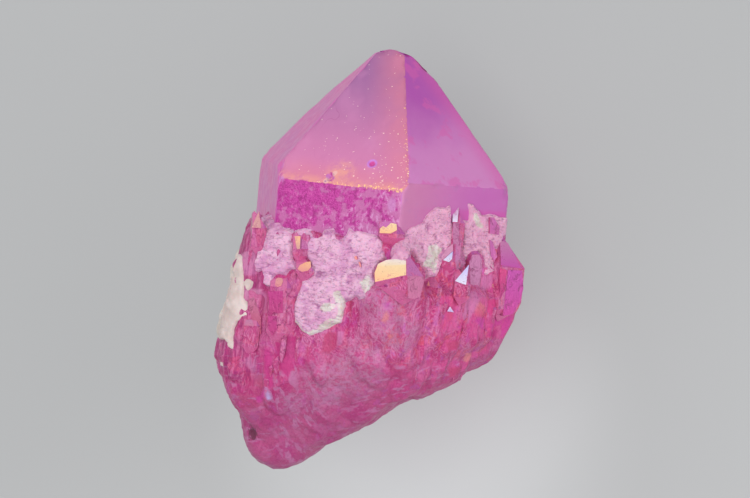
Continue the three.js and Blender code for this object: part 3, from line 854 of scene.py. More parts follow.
def hex_grid(outline, spacing):
    """Evenly spaced points inside a convex outline, clear of its edges."""
    low = outline.min(axis=0)
    high = outline.max(axis=0)
    row_gap = spacing * math.sqrt(3) / 2
    points = []
    for row, y in enumerate(np.arange(low[1], high[1], row_gap)):
        x = np.arange(low[0] + (row % 2) * spacing / 2, high[0], spacing)
        points.append(np.stack((x, np.full(len(x), y)), axis=-1))
    points = np.concatenate(points)
    clear = np.ones(len(points), bool)
    for start, end in zip(outline, np.roll(outline, -1, axis=0)):
        along = (end - start) / np.linalg.norm(end - start)
        away = (points - start) @ np.array((-along[1], along[0]))
        clear &= away > spacing * 0.5
    return points[clear]


def grid_quads(rows, columns):
    """The corner numbers of the quads between points that are numbered row by row."""
    corner = (np.arange(rows - 1)[:, None] * columns + np.arange(columns - 1)).reshape(-1)
    return np.stack((corner, corner + columns, corner + columns + 1, corner + 1), axis=-1)


def ball(count):
    """Directions and quads of a sphere made from a cube, count quads along each edge."""
    steps = np.tan(np.radians(np.linspace(-45, 45, count + 1)))
    first, second = np.meshgrid(steps, steps, indexing="ij")
    quads = grid_quads(count + 1, count + 1)
    sheets = []
    faces = []
    for axis, sign in itertools.product(range(3), (-1, 1)):
        sheet = np.empty((count + 1, count + 1, 3))
        sheet[..., axis] = sign
        sheet[..., (axis + 1) % 3] = first
        sheet[..., (axis + 2) % 3] = second
        turned = quads if sign > 0 else quads[:, ::-1]
        faces.append(turned + len(sheets) * (count + 1) ** 2)
        sheets.append(sheet.reshape(-1, 3))
    points, faces = weld(np.concatenate(sheets), np.concatenate(faces).tolist())
    return unit(points), faces


def main_crystal():
    """The large crystal: flat faces with faint growth relief, worn edges, a pit and a notch."""
    corners, rings = solid(MAIN_NORMALS, MAIN_REACHES)
    points = []
    faces = []
    total = 0
    for normal, ring in zip(MAIN_NORMALS[:-1], rings[:-1]):
        if not ring:
            continue
        face_points, face_faces = filled_face(corners[ring], normal, MAIN_SPACING)
        points.append(face_points)
        faces += [[i + total for i in face] for face in face_faces]
        total += len(face_points)
    points, faces = weld(np.concatenate(points), faces)
    faces = showing(faces, root_depth(points) > BURIED)
    normals = point_normals(points, faces)
    points = points + normals * main_relief(points)[:, None]
    piece = mesh_object("main_crystal", points, faces)
    smooth_shading(piece, MAIN_CREASE)
    return piece


def showing(faces, buried):
    """The faces with a corner that is not buried."""
    return [face for face in faces if not all(buried[face])]


def main_relief(points):
    """How far each point of the main crystal stands out of its flat face."""
    gaps = np.sort(MAIN_REACHES[:-1] - points @ MAIN_NORMALS[:-1].T, axis=1)
    relief = sum(wave(points, *row) for row in MAIN_WAVES)
    relief += growth_bands(points)
    relief -= edge_wear(points, gaps[:, 1])
    relief -= corner_wear(points, gaps[:, 2])
    pit = np.linalg.norm(points - PIT_PLACE, axis=1) / PIT_RADIUS
    rim = np.exp(-(((pit - 1) / PIT_RIM_WIDTH) ** 2))
    relief += PIT_RIM * rim - PIT_DEPTH * (1 - smooth_step(*PIT_WALL, pit))
    notch = np.linalg.norm((points - NOTCH_PLACE) * NOTCH_SCALE, axis=1) / NOTCH_RADIUS
    return relief - NOTCH_DEPTH * (1 - smooth_step(*NOTCH_WALL, notch))


def growth_bands(points):
    """Faint bands across the prism faces."""
    below_cap = (MAIN_REACHES[6:12] - points @ MAIN_NORMALS[6:12].T).min(axis=1)
    return smooth_step(*BAND_RISE, below_cap) * wave(points * BAND_SCALE, *BAND_WAVE)


def edge_wear(points, gap):
    """How deep each point is rubbed down by its gap to the nearest edge, with a few chips."""
    wear = EDGE_WEAR + np.maximum(0, wave(points, *ROUGH_WEAR))
    chip_height, *chip_noise = CHIP_WEAR
    wear += chip_height * smooth_step(*CHIP_LEVELS, noise(points, *chip_noise))
    return wear * (1 - smooth_step(0.0, EDGE_WIDTH, gap))


def corner_wear(points, gap):
    """How deep each point is rubbed down by its gap to the nearest corner, apart from a sharp one."""
    sharp = smooth_step(*TIP_SPARED, np.linalg.norm(points - np.array(GLINT_CORNER), axis=1))
    return TIP_WEAR * (1 - smooth_step(0.0, TIP_WIDTH, gap)) ** 2 * (1 - sharp)


def root_piece(skin, dirt, facets):
    """The etched lump that everything grows from, with its larger growths worn into it."""
    directions, faces = ball(ROOT_QUADS)
    reach = softened(skin.reach(directions), faces)
    points = ROOT_MIDDLE + directions * reach[:, None]
    faces = showing(faces, (MAIN_REACHES - points @ MAIN_NORMALS.T).min(axis=1) > BURIED)
    paints = facet_paints(points, facets)
    relief = root_relief(points) * (1 - FACET_FLATTENING * paints[:, 3])
    relief -= DIRT_DEPTH * np.exp(-(((points - dirt) ** 2).sum(axis=1) / DIRT_SPREAD))
    points = points + directions * relief[:, None]
    piece = mesh_object("root_lump", points, faces)
    add_paints(piece, paints)
    smooth_shading(piece, ROOT_CREASE)
    return piece


def facet_paints(points, facets):
    """The colour times its share, and the share, that broad facets give each point."""
    azimuth = azimuth_of(points)
    ragged = wave(points, *PAINT_RAGGED)
    paints = np.zeros((len(points), 4))
    for foot_colour, top_colour, outline in facets:
        levels = np.array(outline)[:, 1]
        rise = np.clip((points[:, 1] - levels.min()) / np.ptp(levels), 0, 1)
        depth = outline_depth(azimuth, points[:, 1], outline) + ragged
        share = smooth_step(*PAINT_RIM, depth)[:, None]
        paints += (graded(foot_colour, top_colour, rise) - paints) * share * ROOT_FACET_SHARE
    return paints


def graded(foot_colour, top_colour, rise):
    """A colour for each point, from one at the foot, where rise is 0, to another at the top."""
    return np.array(srgb(*foot_colour)) * (1 - rise[:, None]) + np.array(srgb(*top_colour)) * rise[:, None]


def add_paints(piece, paints):
    """Gives each point of a piece a colour and, as its alpha, the colour's share."""
    attribute = piece.data.attributes.new("paint", "FLOAT_COLOR", "POINT")
    attribute.data.foreach_set("color", paints.astype(np.float32).reshape(-1))


def softened(values, faces):
    """Each point's value averaged with those of the faces round it."""
    corners = np.array(faces)
    face_values = values[corners].mean(axis=1)
    total = np.zeros(len(values))
    count = np.zeros(len(values))
    for column in corners.T:
        np.add.at(total, column, face_values)
        np.add.at(count, column, 1)
    return total / count


def root_relief(points):
    """Columns along the c axis round the sides, and broken, etched facets underneath."""
    leftward = smooth_step(*COLUMN_LEFT, points[:, 0])
    level = smooth_step(*COLUMN_FEET, points[:, 1] + COLUMN_LEFT_DROP * leftward)
    relief = 0.4 * ROOT_ROUGHNESS * bumps(points, ROOT_BUMP_SIZE)
    relief += SLAB_HEIGHT * folds_of(points, ROOT_SLABS)
    columns = level * COLUMN_HEIGHT * folds_of(points, ROOT_COLUMNS)
    relief += columns + (1 - 0.5 * level) * BREAK_HEIGHT * folds_of(points, ROOT_BREAKS)
    return relief * (1 - SIDE_FLATTENING * on_smooth_side(points))


def on_smooth_side(points):
    """Where the side with broad facets is, from 0 to 1."""
    azimuth = azimuth_of(points)
    low, high, foot = SMOOTH_SIDE
    outer, inner = SIDE_FADE
    share = smooth_step(low - outer, low + inner, azimuth) * smooth_step(high + outer, high - inner, azimuth)
    return share * smooth_step(foot - FOOT_FADE[0], foot + FOOT_FADE[1], points[:, 1])


# Overgrowths.


class Cluster:
    """Gathers the faces of many crystals for one mesh."""

    def __init__(self):
        self.points = []
        self.paints = []
        self.faces = []
        self.tint = []
        self.calm = []
        self.total = 0

    def add(self, points, faces, tint, calm, paints=None):
        """Adds one solid. Its paints are colours with the share that each has, per point."""
        self.faces += [[int(i) + self.total for i in face] for face in faces]
        self.tint += [tint] * len(faces)
        self.calm += [calm] * len(faces)
        self.points.append(points)
        self.paints.append(np.zeros((len(points), 4)) if paints is None else paints)
        self.total += len(points)

    def add_crystal(self, reaches, centre, heel_dip, tint, calm):
        """Adds one crystal, cut off where it would stand out of the root's underside."""
        normals = np.vstack((habit(heel_dip), UNDERSIDE_NORMALS))
        reaches = np.concatenate((reaches + habit(heel_dip) @ centre, UNDERSIDE_REACHES))
        corners, rings = solid(normals, reaches)
        if len(corners) >= 4:
            self.add(corners, [ring for ring in rings if len(ring)], tint, calm)

    def build(self, name):
        piece = mesh_object(
            name, np.concatenate(self.points), self.faces,
            face_numbers={"tint": self.tint, "calm": self.calm},
        )
        add_paints(piece, np.concatenate(self.paints))
        return piece


def step_growths():
    """The larger overgrowths, as face distances and centre."""
    return [
        (overgrowth_reaches(width, top, foot, seed), outward(azimuth) * (reach - width))
        for seed, (azimuth, reach, width, top, foot) in enumerate(STEPS)
    ]


def scattered_growths():
    """Small crystals that stand a little out of the root all round it."""
    bare_skin = Skin([])
    limits = (SCATTER_TOP, SCATTER_WIDTH, SCATTER_LENGTH, SCATTER_PROUD)
    growths = []
    for i in range(SCATTER_COUNT):
        azimuth = i * SCATTER_TURN
        top, width, length, proud = (
            between(limit, chance(i + seed)) for limit, seed in zip(limits, SCATTER_SEEDS)
        )
        place = np.array((azimuth,)), np.array((top - length / 2,))
        reach = float(bare_skin.radius(*place)[0]) + proud
        reaches = overgrowth_reaches(width, top, top - length, i + SCATTER_SHAPE_SEED)
        growths.append((reaches, outward(azimuth) * (reach - width)))
    return growths


def fine_growths(skin, outlines):
    """Slender crystals that stand a little out of whatever carries them, clear of the matrix."""
    growths = []
    for group, (count, middle, spread, tops, widths, prouds, lengths) in enumerate(FINE_GROUPS):
        seeds = np.arange(count) + group * FINE_GROUP_STEP
        steps = FINE_SEED + FINE_DRAW_STEP * np.arange(FINE_DRAWS)
        draws = np.array([[chance(int(seed + step)) for step in steps] for seed in seeds])
        azimuth = middle + spread * (2 * draws[:, 4] - 1)
        top = between(tops, draws[:, 0])
        width = between(widths, draws[:, 1] ** FINE_BIAS[0])
        length = between(lengths, draws[:, 2])
        proud = between(prouds, draws[:, 3] ** FINE_BIAS[1])
        reach = skin.radius(azimuth, top - length * FINE_SEAT) + proud
        for _ in range(FINE_TRIALS):
            hangs = reach - skin.radius(azimuth, top - length) > FINE_OVERHANG
            length = np.where(hangs, length * FINE_SHORTER, length)
        free = length > FINE_SHORTEST
        for share in FINE_CHECKS:
            free &= matrix_depth(azimuth, top - share * length, outlines) < -FINE_CLEARANCE
        free &= ~((azimuth > SMOOTH_SIDE[0]) & (azimuth < SMOOTH_SIDE[1]) & (top > SMOOTH_SIDE[2]))
        for i in np.flatnonzero(free):
            reaches = overgrowth_reaches(width[i], top[i], top[i] - length[i], int(seeds[i]), FINE_HEEL_DIP)
            growths.append((reaches, outward(azimuth[i]) * (reach[i] - width[i])))
    return growths


def corner_reaches(left, shared, right, top, foot, proud, skin):
    """Face distances from the c axis of a crystal whose front and side faces meet at a seen edge."""
    front, side = PRISM_POLES[0], PRISM_POLES[1]
    level = (top + foot) / 2
    edge = skin.seen([(shared, level)])[0] + camera_axes()[2] * proud
    far_left = seen_on_plane([(left, level)], front, edge @ front)[0]
    far_right = seen_on_plane([(right, level)], side, edge @ side)[0]
    high, low = seen_on_plane([(shared, top), (shared, foot)], front, edge @ front)[:, 1]
    marks = (edge, edge, far_right, None, None, far_left)
    prism = np.array([
        edge @ pole + CORNER_DEPTH if mark is None else mark @ pole for mark, pole in zip(marks, PRISM_POLES)
    ])
    tilt = math.radians(CAP_TILT)
    dip = math.radians(CORNER_HEEL_DIP)
    cap = prism * math.sin(tilt) + high * math.cos(tilt)
    cap += np.array((0, 0, 0, CORNER_DEPTH, CORNER_DEPTH, CORNER_LEFT_CAP))
    return np.concatenate((prism, cap, prism * math.cos(dip) - low * math.sin(dip)))


def facet_plate(facing, foot_colour, top_colour, outline, skin, solids):
    """A flat slab with a seen front outline: its points, faces and paints."""
    pole = tilted(*facing)
    middle = skin.seen([np.mean(outline, axis=0)], solids)[0]
    front = seen_on_plane(outline, pole, middle @ pole + FACET_LIFT)
    return slab(front, pole, [ring_round(front, pole)], painted(front, foot_colour, top_colour, 1.0))


def skin_facet(lift, foot_colour, top_colour, outline, skin, solids):
    """A thin slab that follows the skin, with a seen outline: its points, faces and paints."""
    places = skin.seen((*outline, np.mean(outline, axis=0)), solids)
    pole = np.linalg.svd(places - places.mean(axis=0))[2][2]
    pole = pole * np.sign(pole @ camera_axes()[2])
    front = places + pole * lift
    ring = ring_round(front[:-1], pole)
    fan = [[ring[i - 1], ring[i], len(outline)] for i in range(len(ring))]
    paints = painted(front, foot_colour, top_colour, SKIN_PAINT[1])
    paints[-1, 3] = SKIN_PAINT[0]
    return slab(front, pole, fan, paints, ring)


def ring_round(points, pole):
    """The points' numbers in the order that turns left round a direction."""
    ring = list(range(len(points)))
    turned = np.cross(points[1] - points[0], points[2] - points[1]) @ pole > 0
    return ring if turned else ring[::-1]


def painted(front, foot_colour, top_colour, share):
    """A colour and a share for each point, from one colour at the foot to another at the top."""
    paints = graded(foot_colour, top_colour, (front[:, 1] - front[:, 1].min()) / np.ptp(front[:, 1]))
    paints[:, 3] = share
    return paints


def slab(front, pole, front_faces, paints, ring=None):
    """A solid from its front faces back into what carries it. Its walls and back are unpainted."""
    ring = ring or front_faces[0]
    count = len(front)
    points = np.vstack((front, front, front - pole * FACET_DEPTH))
    walls = [
        [ring[i - 1] + count, ring[i - 1] + 2 * count, ring[i] + 2 * count, ring[i] + count]
        for i in range(len(ring))
    ]
    backs = [[i + 2 * count for i in face[::-1]] for face in front_faces]
    all_paints = np.vstack((paints, np.zeros((2 * count, 4))))
    return points, front_faces + walls + backs, all_paints


def overgrowth_piece(skin, outlines):
    """The crystals that are slender or catch the light, sharp-edged on the worn root; the glints they catch
    are painted on.
    """
    cluster = Cluster()
    for i, (reaches, centre) in enumerate(fine_growths(skin, outlines)):
        cluster.add_crystal(reaches, centre, FINE_HEEL_DIP, chance(i + FINE_TINT_SEED), FINE_CALM)
    corners = [corner_reaches(*row[:-1], skin) for row in CORNERS]
    for reaches, row in zip(corners, CORNERS):
        cluster.add_crystal(reaches, np.zeros(3), CORNER_HEEL_DIP, row[-1], CORNER_CALM)
    for facing, foot_colour, top_colour, outline in FACETS:
        make = facet_plate if isinstance(facing, tuple) else skin_facet
        points, faces, paints = make(facing, foot_colour, top_colour, outline, skin, corners)
        cluster.add(points, faces, 0.5, 0.0, paints)
    return cluster.build("overgrowths")


# Rock matrix.


def outline_depth(azimuth, height, outline):
    """How far inside an outline each place lies, in millimetres over the surface."""
    scale = math.radians(MATRIX_RADIUS)
    spots = np.stack((azimuth * scale, height), axis=-1)
    ring = np.array(outline) * np.array((scale, 1))
    nearest = np.full(len(spots), np.inf)
    inside = np.zeros(len(spots), bool)
    for start, end in zip(ring, np.roll(ring, -1, axis=0)):
        side = end - start
        share = np.clip((spots - start) @ side / (side @ side), 0, 1)
        away = spots - start - share[:, None] * side
        nearest = np.minimum(nearest, np.hypot(away[:, 0], away[:, 1]))
        spans = (start[1] > spots[:, 1]) != (end[1] > spots[:, 1])
        if start[1] != end[1]:
            crossing = start[0] + (spots[:, 1] - start[1]) * side[0] / side[1]
            inside ^= spans & (spots[:, 0] < crossing)
    return np.where(inside, nearest, -nearest)


def matrix_depth(azimuth, height, outlines):
    """How far inside the nearest of some outlines each place lies."""
    turned = (azimuth + 180) % 360 - 180
    return np.max([outline_depth(turned, height, outline) for outline in outlines], axis=0)


def matrix_layer(name, outlines, swells, span, skin, bare_spots=()):
    """Rough rock that fills the hollows between the crystals, as one ragged layer."""
    azimuths = np.arange(span[0], span[1], MATRIX_SPACING / math.radians(MATRIX_RADIUS))
    heights = np.arange(span[2], span[3], MATRIX_SPACING)
    azimuth, height = (grid.reshape(-1) for grid in np.meshgrid(azimuths, heights, indexing="ij"))
    ground = level_grid(skin.radius(azimuth, height), len(azimuths))
    places = place_at(azimuth, MATRIX_RADIUS, height)
    relief = matrix_relief(places)
    rise = matrix_rise(azimuth, height, places, outlines, swells, relief)
    quads = grid_quads(len(azimuths), len(heights))[:, [0, 3, 2, 1]]
    kept = quads[(rise[quads] > MATRIX_HIDDEN).any(axis=1)]
    numbers = {"bare": bare_share(azimuth, height, places, bare_spots), "relief": relief}
    points, numbers, faces = used_only(place_at(azimuth, ground + rise, height), numbers, kept)
    piece = mesh_object(name, points, faces, numbers)
    smooth_shading(piece, MATRIX_CREASE)
    return piece


def matrix_relief(places):
    """The rock's broken surface with its creases."""
    stretch, size, octaves, seed = MATRIX_CREASES
    creases = np.abs(fractal(places * np.array(stretch), size, octaves, seed))
    relief = folds_of(places, MATRIX_FOLDS) + MATRIX_CHIPS[2] * chips(places, *MATRIX_CHIPS[:2])
    return relief - CREASE_DEPTH * (1 - smooth_step(0.0, CREASE_WIDTH, creases))


def matrix_rise(azimuth, height, places, outlines, swells, relief):
    """How far the rock stands out of the ground, with a ragged rim that dips into it."""
    ragged = folds_of(places, RIM_FOLDS) + wave(places, *RIM_WAVE)
    depth = matrix_depth(azimuth, height, outlines) + ragged
    rise = smooth_step(*MATRIX_RIM, depth) * MATRIX_THICKNESS - MATRIX_SEAT
    shoulder = smooth_step(0, MATRIX_SHOULDER, depth)
    for middle, level, spread, reach, swell in swells:
        away = ((azimuth - middle) / spread) ** 2 + ((height - level) / reach) ** 2
        rise += shoulder * swell * np.exp(-away)
    return rise + smooth_step(0, MATRIX_INNER, depth) * relief


def level_grid(values, count):
    """A grid of values with its steps softened."""
    grid = values.reshape(count, -1)
    for _ in range(MATRIX_LEVELLING):
        padded = np.pad(grid, 1, mode="edge")
        grid = (padded[:-2, 1:-1] + padded[2:, 1:-1] + padded[1:-1, :-2] + padded[1:-1, 2:]) / 4
    return grid.reshape(-1)


def used_only(points, numbers, quads):
    """Drops the points that no quad uses."""
    kept, places = np.unique(quads, return_inverse=True)
    faces = places.reshape(quads.shape).tolist()
    return points[kept], {key: values[kept] for key, values in numbers.items()}, faces


def bare_share(azimuth, height, places, outlines):
    """Where the coat has worn off the matrix, from 0 to 1."""
    if not outlines:
        return np.ones(len(azimuth))
    ragged = BARE_RAGGEDNESS * fractal(places, *BARE_RAGGED)
    return smooth_step(*BARE_RIM, matrix_depth(azimuth, height, outlines) + ragged)


# Materials. Hues are display values from 0 to 255.


def srgb(red, green, blue):
    """A hue in Blender's linear values."""
    shares = (np.array((red, green, blue)) / 255 + 0.055) / 1.055
    return (*(shares**2.4).tolist(), 1.0)


class Field:
    """A number or colour that varies over a surface. Its arithmetic adds shader nodes."""

    def __init__(self, shader, socket):
        self.shader = shader
        self.socket = socket

    def __add__(self, other):
        return self.shader.math("ADD", self, other)

    def __sub__(self, other):
        return self.shader.math("SUBTRACT", self, other)

    def __mul__(self, other):
        return self.shader.math("MULTIPLY", self, other)

    def __abs__(self):
        return self.shader.math("ABSOLUTE", self)

    def larger(self, other):
        return self.shader.math("MAXIMUM", self, other)

    def ramp(self, low, high, start=0.0, end=1.0):
        """A smooth rise from start to end as this goes from low to high."""
        inputs = (self, low, high, start, end)
        return self.shader.node("MapRange", inputs, interpolation_type="SMOOTHSTEP")


class Shader:
    """Builds the nodes of one material. Positions are in millimetres in the crystal frame."""

    def __init__(self, name, **surface):
        self.material = bpy.data.materials.new(name)
        self.material.use_nodes = True
        self.tree = self.material.node_tree
        self.surface = self.tree.nodes["Principled BSDF"]
        for key, value in surface.items():
            self.surface.inputs[key.replace("_", " ")].default_value = value
        coordinates = self.node("TexCoord", output="Object")
        self.place = self.vector("MULTIPLY_ADD", coordinates, (1 / METRE,) * 3, tuple(-AXIS))
        self.normal = self.node("NewGeometry", output="Normal")

    def node(self, kind, inputs=(), output=0, **settings):
        """One output of a new node whose inputs, given in order or by name, are filled."""
        node = self.tree.nodes.new("ShaderNode" + kind)
        for key, value in settings.items():
            setattr(node, key, value)
        for key, value in inputs.items() if isinstance(inputs, dict) else enumerate(inputs):
            self.fill(node.inputs[key], value)
        return Field(self, node.outputs[output])

    def fill(self, socket, value):
        if isinstance(value, Field):
            self.tree.links.new(value.socket, socket)
        else:
            socket.default_value = value

    def vector(self, operation, *values):
        output = "Value" if operation in ("DOT_PRODUCT", "LENGTH") else "Vector"
        return self.node("VectorMath", values, output, operation=operation)

    def math(self, operation, *values):
        return self.node("Math", values, operation=operation)

    def attribute(self, name, output="Fac"):
        return self.node("Attribute", output=output, attribute_name=name)

    def noise(self, size, detail=2.0, rough=0.5, warp=0.0, stretch=(1, 1, 1), offset=0.0, place=None):
        """A field of about 0 to 1 whose features are about one size across."""
        stretched = self.vector("MULTIPLY_ADD", place or self.place, stretch, (offset,) * 3)
        inputs = {
            "Vector": stretched, "Scale": 1 / size, "Detail": detail, "Roughness": rough, "Distortion": warp,
        }
        return self.node("TexNoise", inputs, "Fac")

    def lenses(self, size, stretch, bend):
        """A number from 0 to 1 for each of some curved cells."""
        shift = self.node("TexNoise", {"Vector": self.place, "Scale": 1 / (size * 1.4)}, "Color")
        bent = self.vector("MULTIPLY_ADD", shift, (bend,) * 3, self.place)
        inputs = {"Vector": self.vector("MULTIPLY", bent, stretch), "Scale": 1 / size}
        return self.node("TexVoronoi", inputs, "Color") + 0.0

    def turned(self, axis, angle):
        """The place turned round an axis through the origin."""
        inputs = {"Vector": self.place, "Axis": tuple(axis), "Angle": math.radians(angle)}
        return self.node("VectorRotate", inputs)

    def blend(self, first, second, share):
        """One colour or hue with a share of a second one laid over it."""
        first, second = (hue if isinstance(hue, Field) else srgb(*hue) for hue in (first, second))
        return self.node("Mix", {0: share, 6: first, 7: second}, 2, data_type="RGBA")

    def facing(self, pole, low=0.86, high=0.95):
        """Where the surface faces a direction."""
        return self.vector("DOT_PRODUCT", self.normal, tuple(pole)).ramp(low, high)

    def towards(self, direction, low, high):
        """A rise from 0 to 1 along a direction, between two distances from the origin."""
        return self.vector("DOT_PRODUCT", self.place, tuple(direction)).ramp(low, high)

    def distance(self, place):
        return self.vector("LENGTH", self.vector("SUBTRACT", self.place, tuple(place)))

    def finish(self, colour, roughness=None, height=None):
        """Links the colour, the roughness and a height in millimetres to the surface."""
        self.fill(self.surface.inputs["Base Color"], colour)
        if roughness is not None:
            self.fill(self.surface.inputs["Roughness"], roughness)
        if height is not None:
            inputs = {"Strength": 1.0, "Distance": METRE, "Height": height}
            self.fill(self.surface.inputs["Normal"], self.node("Bump", inputs, "Normal"))
        return self.material


def layered(colour, *layers):
    """A colour with others laid over it in turn, each with its share."""
    for share, hue in layers:
        colour = colour.shader.blend(colour, hue, share)
    return colour


RIGHTWARD = np.array((1.0, 0.0, 0.0))
LEFTWARD = -RIGHTWARD
MAGENTA, DEEP_MAGENTA, RED_MAGENTA = (182, 58, 132), (184, 50, 130), (198, 66, 114)
ROSE, PINK, PLUM = (190, 84, 136), (208, 118, 170), (134, 44, 104)
LILAC, GREY_LILAC = (192, 118, 182), (182, 118, 162)
# the speck hue and the gold hue are painted highlights: the pale and golden glints on the main crystal's
# front cap face
SOOT, GLINT_SPECK, GOLD = (88, 42, 70), (255, 232, 214), (252, 206, 128)
GLOW = (1.0, 0.4, 0.8)  # how far light of each colour spreads below the coat, against each other


def main_coat():
    """The coat on the main crystal: each face has its own hue."""
    shader = Shader(
        "aura_coat_main", Metallic=0.1, IOR=1.5, Coat_Weight=0.12, Coat_Roughness=0.15,
        Subsurface_Weight=0.12, Subsurface_Radius=GLOW, Subsurface_Scale=0.0015,
    )
    cloud = shader.noise(6.0, 3.0, 0.55)
    mottle = shader.noise(1.6, 3.0, 0.6, offset=7.0)
    grain = shader.noise(0.22, 2.0, 0.6)
    clouded = cloud.ramp(0.35, 0.65)
    side = shader.blend((216, 95, 171), (209, 101, 177), clouded)
    hues = (
        (CAP_POLES[0], front_cap_hue(shader, cloud)), (CAP_POLES[1], side_cap_hue(shader, cloud)),
        (PRISM_POLES[0], front_band_hue(shader, mottle, grain)),
        (PRISM_POLES[1], side_band_hue(shader, cloud, mottle)),
        (CAP_POLES[5], side), (PRISM_POLES[5], side), (CAP_POLES[2], side), (PRISM_POLES[2], side),
    )
    colour = layered(
        shader.blend(LILAC, (192, 84, 168), clouded),
        *((shader.facing(pole), hue) for pole, hue in hues),
        (painted_gold_glints(shader), GOLD),
        (painted_glint_specks(shader), GLINT_SPECK),
        *mark_layers(shader, mottle),
    )
    micro = shader.noise(0.35, 3.0, 0.7) * 0.008
    prism_grain = shader.facing(PRISM_POLES[0]) * grain * 0.06
    return shader.finish(colour, mottle.ramp(0.3, 0.7, 0.28, 0.42), micro + prism_grain)


def mark_layers(shader, mottle):
    """The pit, which is violet round a magenta middle, and the notch, with a painted highlight along its rim
    round patchy painted shade in its middle.
    """
    pit = shader.distance(PIT_PLACE)
    away = shader.vector("SUBTRACT", shader.place, tuple(NOTCH_PLACE))
    along = shader.vector("DOT_PRODUCT", away, NOTCH_WAY)
    along = shader.math("MINIMUM", along.larger(-1.0), 1.0)
    nearest = shader.vector("MULTIPLY", along, NOTCH_WAY)
    slit = shader.vector("LENGTH", shader.vector("SUBTRACT", away, nearest)) + mottle * 0.3
    return (
        (pit.ramp(PIT_RADIUS * 1.3, PIT_RADIUS * 0.9), (196, 120, 205)),
        (pit.ramp(PIT_RADIUS * 0.8, PIT_RADIUS * 0.5), (206, 66, 150)),
        # painted highlight where the notch's rim catches the light
        (slit.ramp(0.62, 0.46, end=0.75), (226, 178, 172)),
        # painted shade inside the notch, broken up by the mottling
        (slit.ramp(0.42, 0.3, end=0.7) * mottle.ramp(0.44, 0.52), (146, 84, 150)),
    )


def front_cap_hue(shader, cloud):
    """Greyish mauve at the point, pink below it and peach along the lower and right-hand edges."""
    veil = shader.noise(4.5, 2.0, 0.5, 0.5, stretch=(1.0, 0.6, 1.0), offset=40.0)
    scratched = shader.distance(seen_on_plane([SCRATCH_PIXEL], CAP_POLES[0], MAIN_CAP[0])[0])
    scratch = abs(veil - 0.44).ramp(0.012, 0.003) * scratched.ramp(3.6, 1.2, 0.06, 0.6)
    right_edge = shader.towards(CAP_POLES[1], MAIN_CAP[1] - 5.0, MAIN_CAP[1]) * 0.6
    low_edge = shader.towards(PRISM_POLES[0], MAIN_PRISM[0] - 3.4, MAIN_PRISM[0]) * 0.8
    low_rim = shader.towards(PRISM_POLES[0], MAIN_PRISM[0] - 1.3, MAIN_PRISM[0]) * 0.6
    near_notch = shader.distance(NOTCH_PLACE + np.array((1.4, 1.0, -0.6))).ramp(3.2, 0.6, end=0.65)
    ragged = shader.noise(1.1, 3.0, 0.6, offset=52.0).ramp(0.3, 0.6)
    return layered(
        shader.blend((203, 117, 165), (148, 89, 146), shader.towards(C_AXIS, 11.0, 31.0)),
        (veil.ramp(0.5, 0.7, end=0.2), (214, 136, 184)),
        (scratch, (160, 70, 130)),
        (right_edge.larger(low_edge) * cloud.ramp(0.25, 0.6, 0.35, 1.0), (212, 116, 136)),
        (low_rim.larger(near_notch) * ragged, (230, 158, 132)),
    )


def side_cap_hue(shader, cloud):
    """Violet at the point, lilac below it, with a pinker far edge."""
    height = shader.towards(C_AXIS, 10.0, 30.0)
    ridge_side = shader.towards(CAP_POLES[0], MAIN_CAP[0] - 14.0, MAIN_CAP[0])
    depth = height * 0.75 + ridge_side * 0.25 + (cloud - 0.5) * 0.35
    return layered(
        shader.blend((204, 126, 186), (172, 74, 166), depth.ramp(0.25, 1.0)),
        (shader.towards(CAP_POLES[2], MAIN_CAP[2] - 3.0, MAIN_CAP[2]) * 0.5, (206, 84, 160)),
        (shader.noise(3.4, 3.0, 0.6, offset=61.0).ramp(0.56, 0.66, end=0.5), (208, 88, 164)),
    )


def front_band_hue(shader, mottle, grain):
    """Deep magenta with a fine grain, worn to lilac towards the right and the foot."""
    clots = shader.noise(0.9, 4.0, 0.7, 0.5, stretch=(1.3, 0.8, 1.0), offset=71.0)
    worn = shader.towards(RIGHTWARD, -6.0, 13.0) * 0.13 + shader.towards(C_AXIS, 10.0, 0.0) * 0.12
    from_oval = shader.vector("SUBTRACT", shader.place, OVAL_PLACE)
    oval = shader.vector("LENGTH", shader.vector("MULTIPLY", from_oval, (1.5, 0.9, 1.0))) + mottle
    return layered(
        shader.blend((168, 28, 130), (194, 58, 154), grain.ramp(0.36, 0.64)),
        (clots.ramp(0.5, 0.36, end=0.75), (146, 20, 112)),
        (clots.ramp(0.52, 0.66, end=0.5), (206, 76, 160)),
        ((mottle + worn).ramp(0.54, 0.68, end=0.75), (190, 108, 162)),
        ((clots + worn).ramp(0.64, 0.78, end=0.7), (206, 150, 196)),
        (oval.ramp(1.8, 1.2, end=0.6), (198, 132, 190)),
        (shader.towards(LEFTWARD, 7.0, 11.0) * 0.4, (166, 26, 126)),
    )


def side_band_hue(shader, cloud, mottle):
    """Lilac, more violet towards the right and flushed with magenta at its foot."""
    rightward = shader.towards(PRISM_POLES[2], 0.0, 14.0)
    low = (shader.towards(C_AXIS, 9.6, 7.4) + cloud * 0.4).ramp(0.55, 1.1)
    return layered(
        shader.blend((194, 116, 162), (188, 96, 170), rightward),
        (low * rightward * 0.6, (200, 72, 160)),
        (mottle.ramp(0.55, 0.68, end=0.3), (176, 112, 168)),
    )


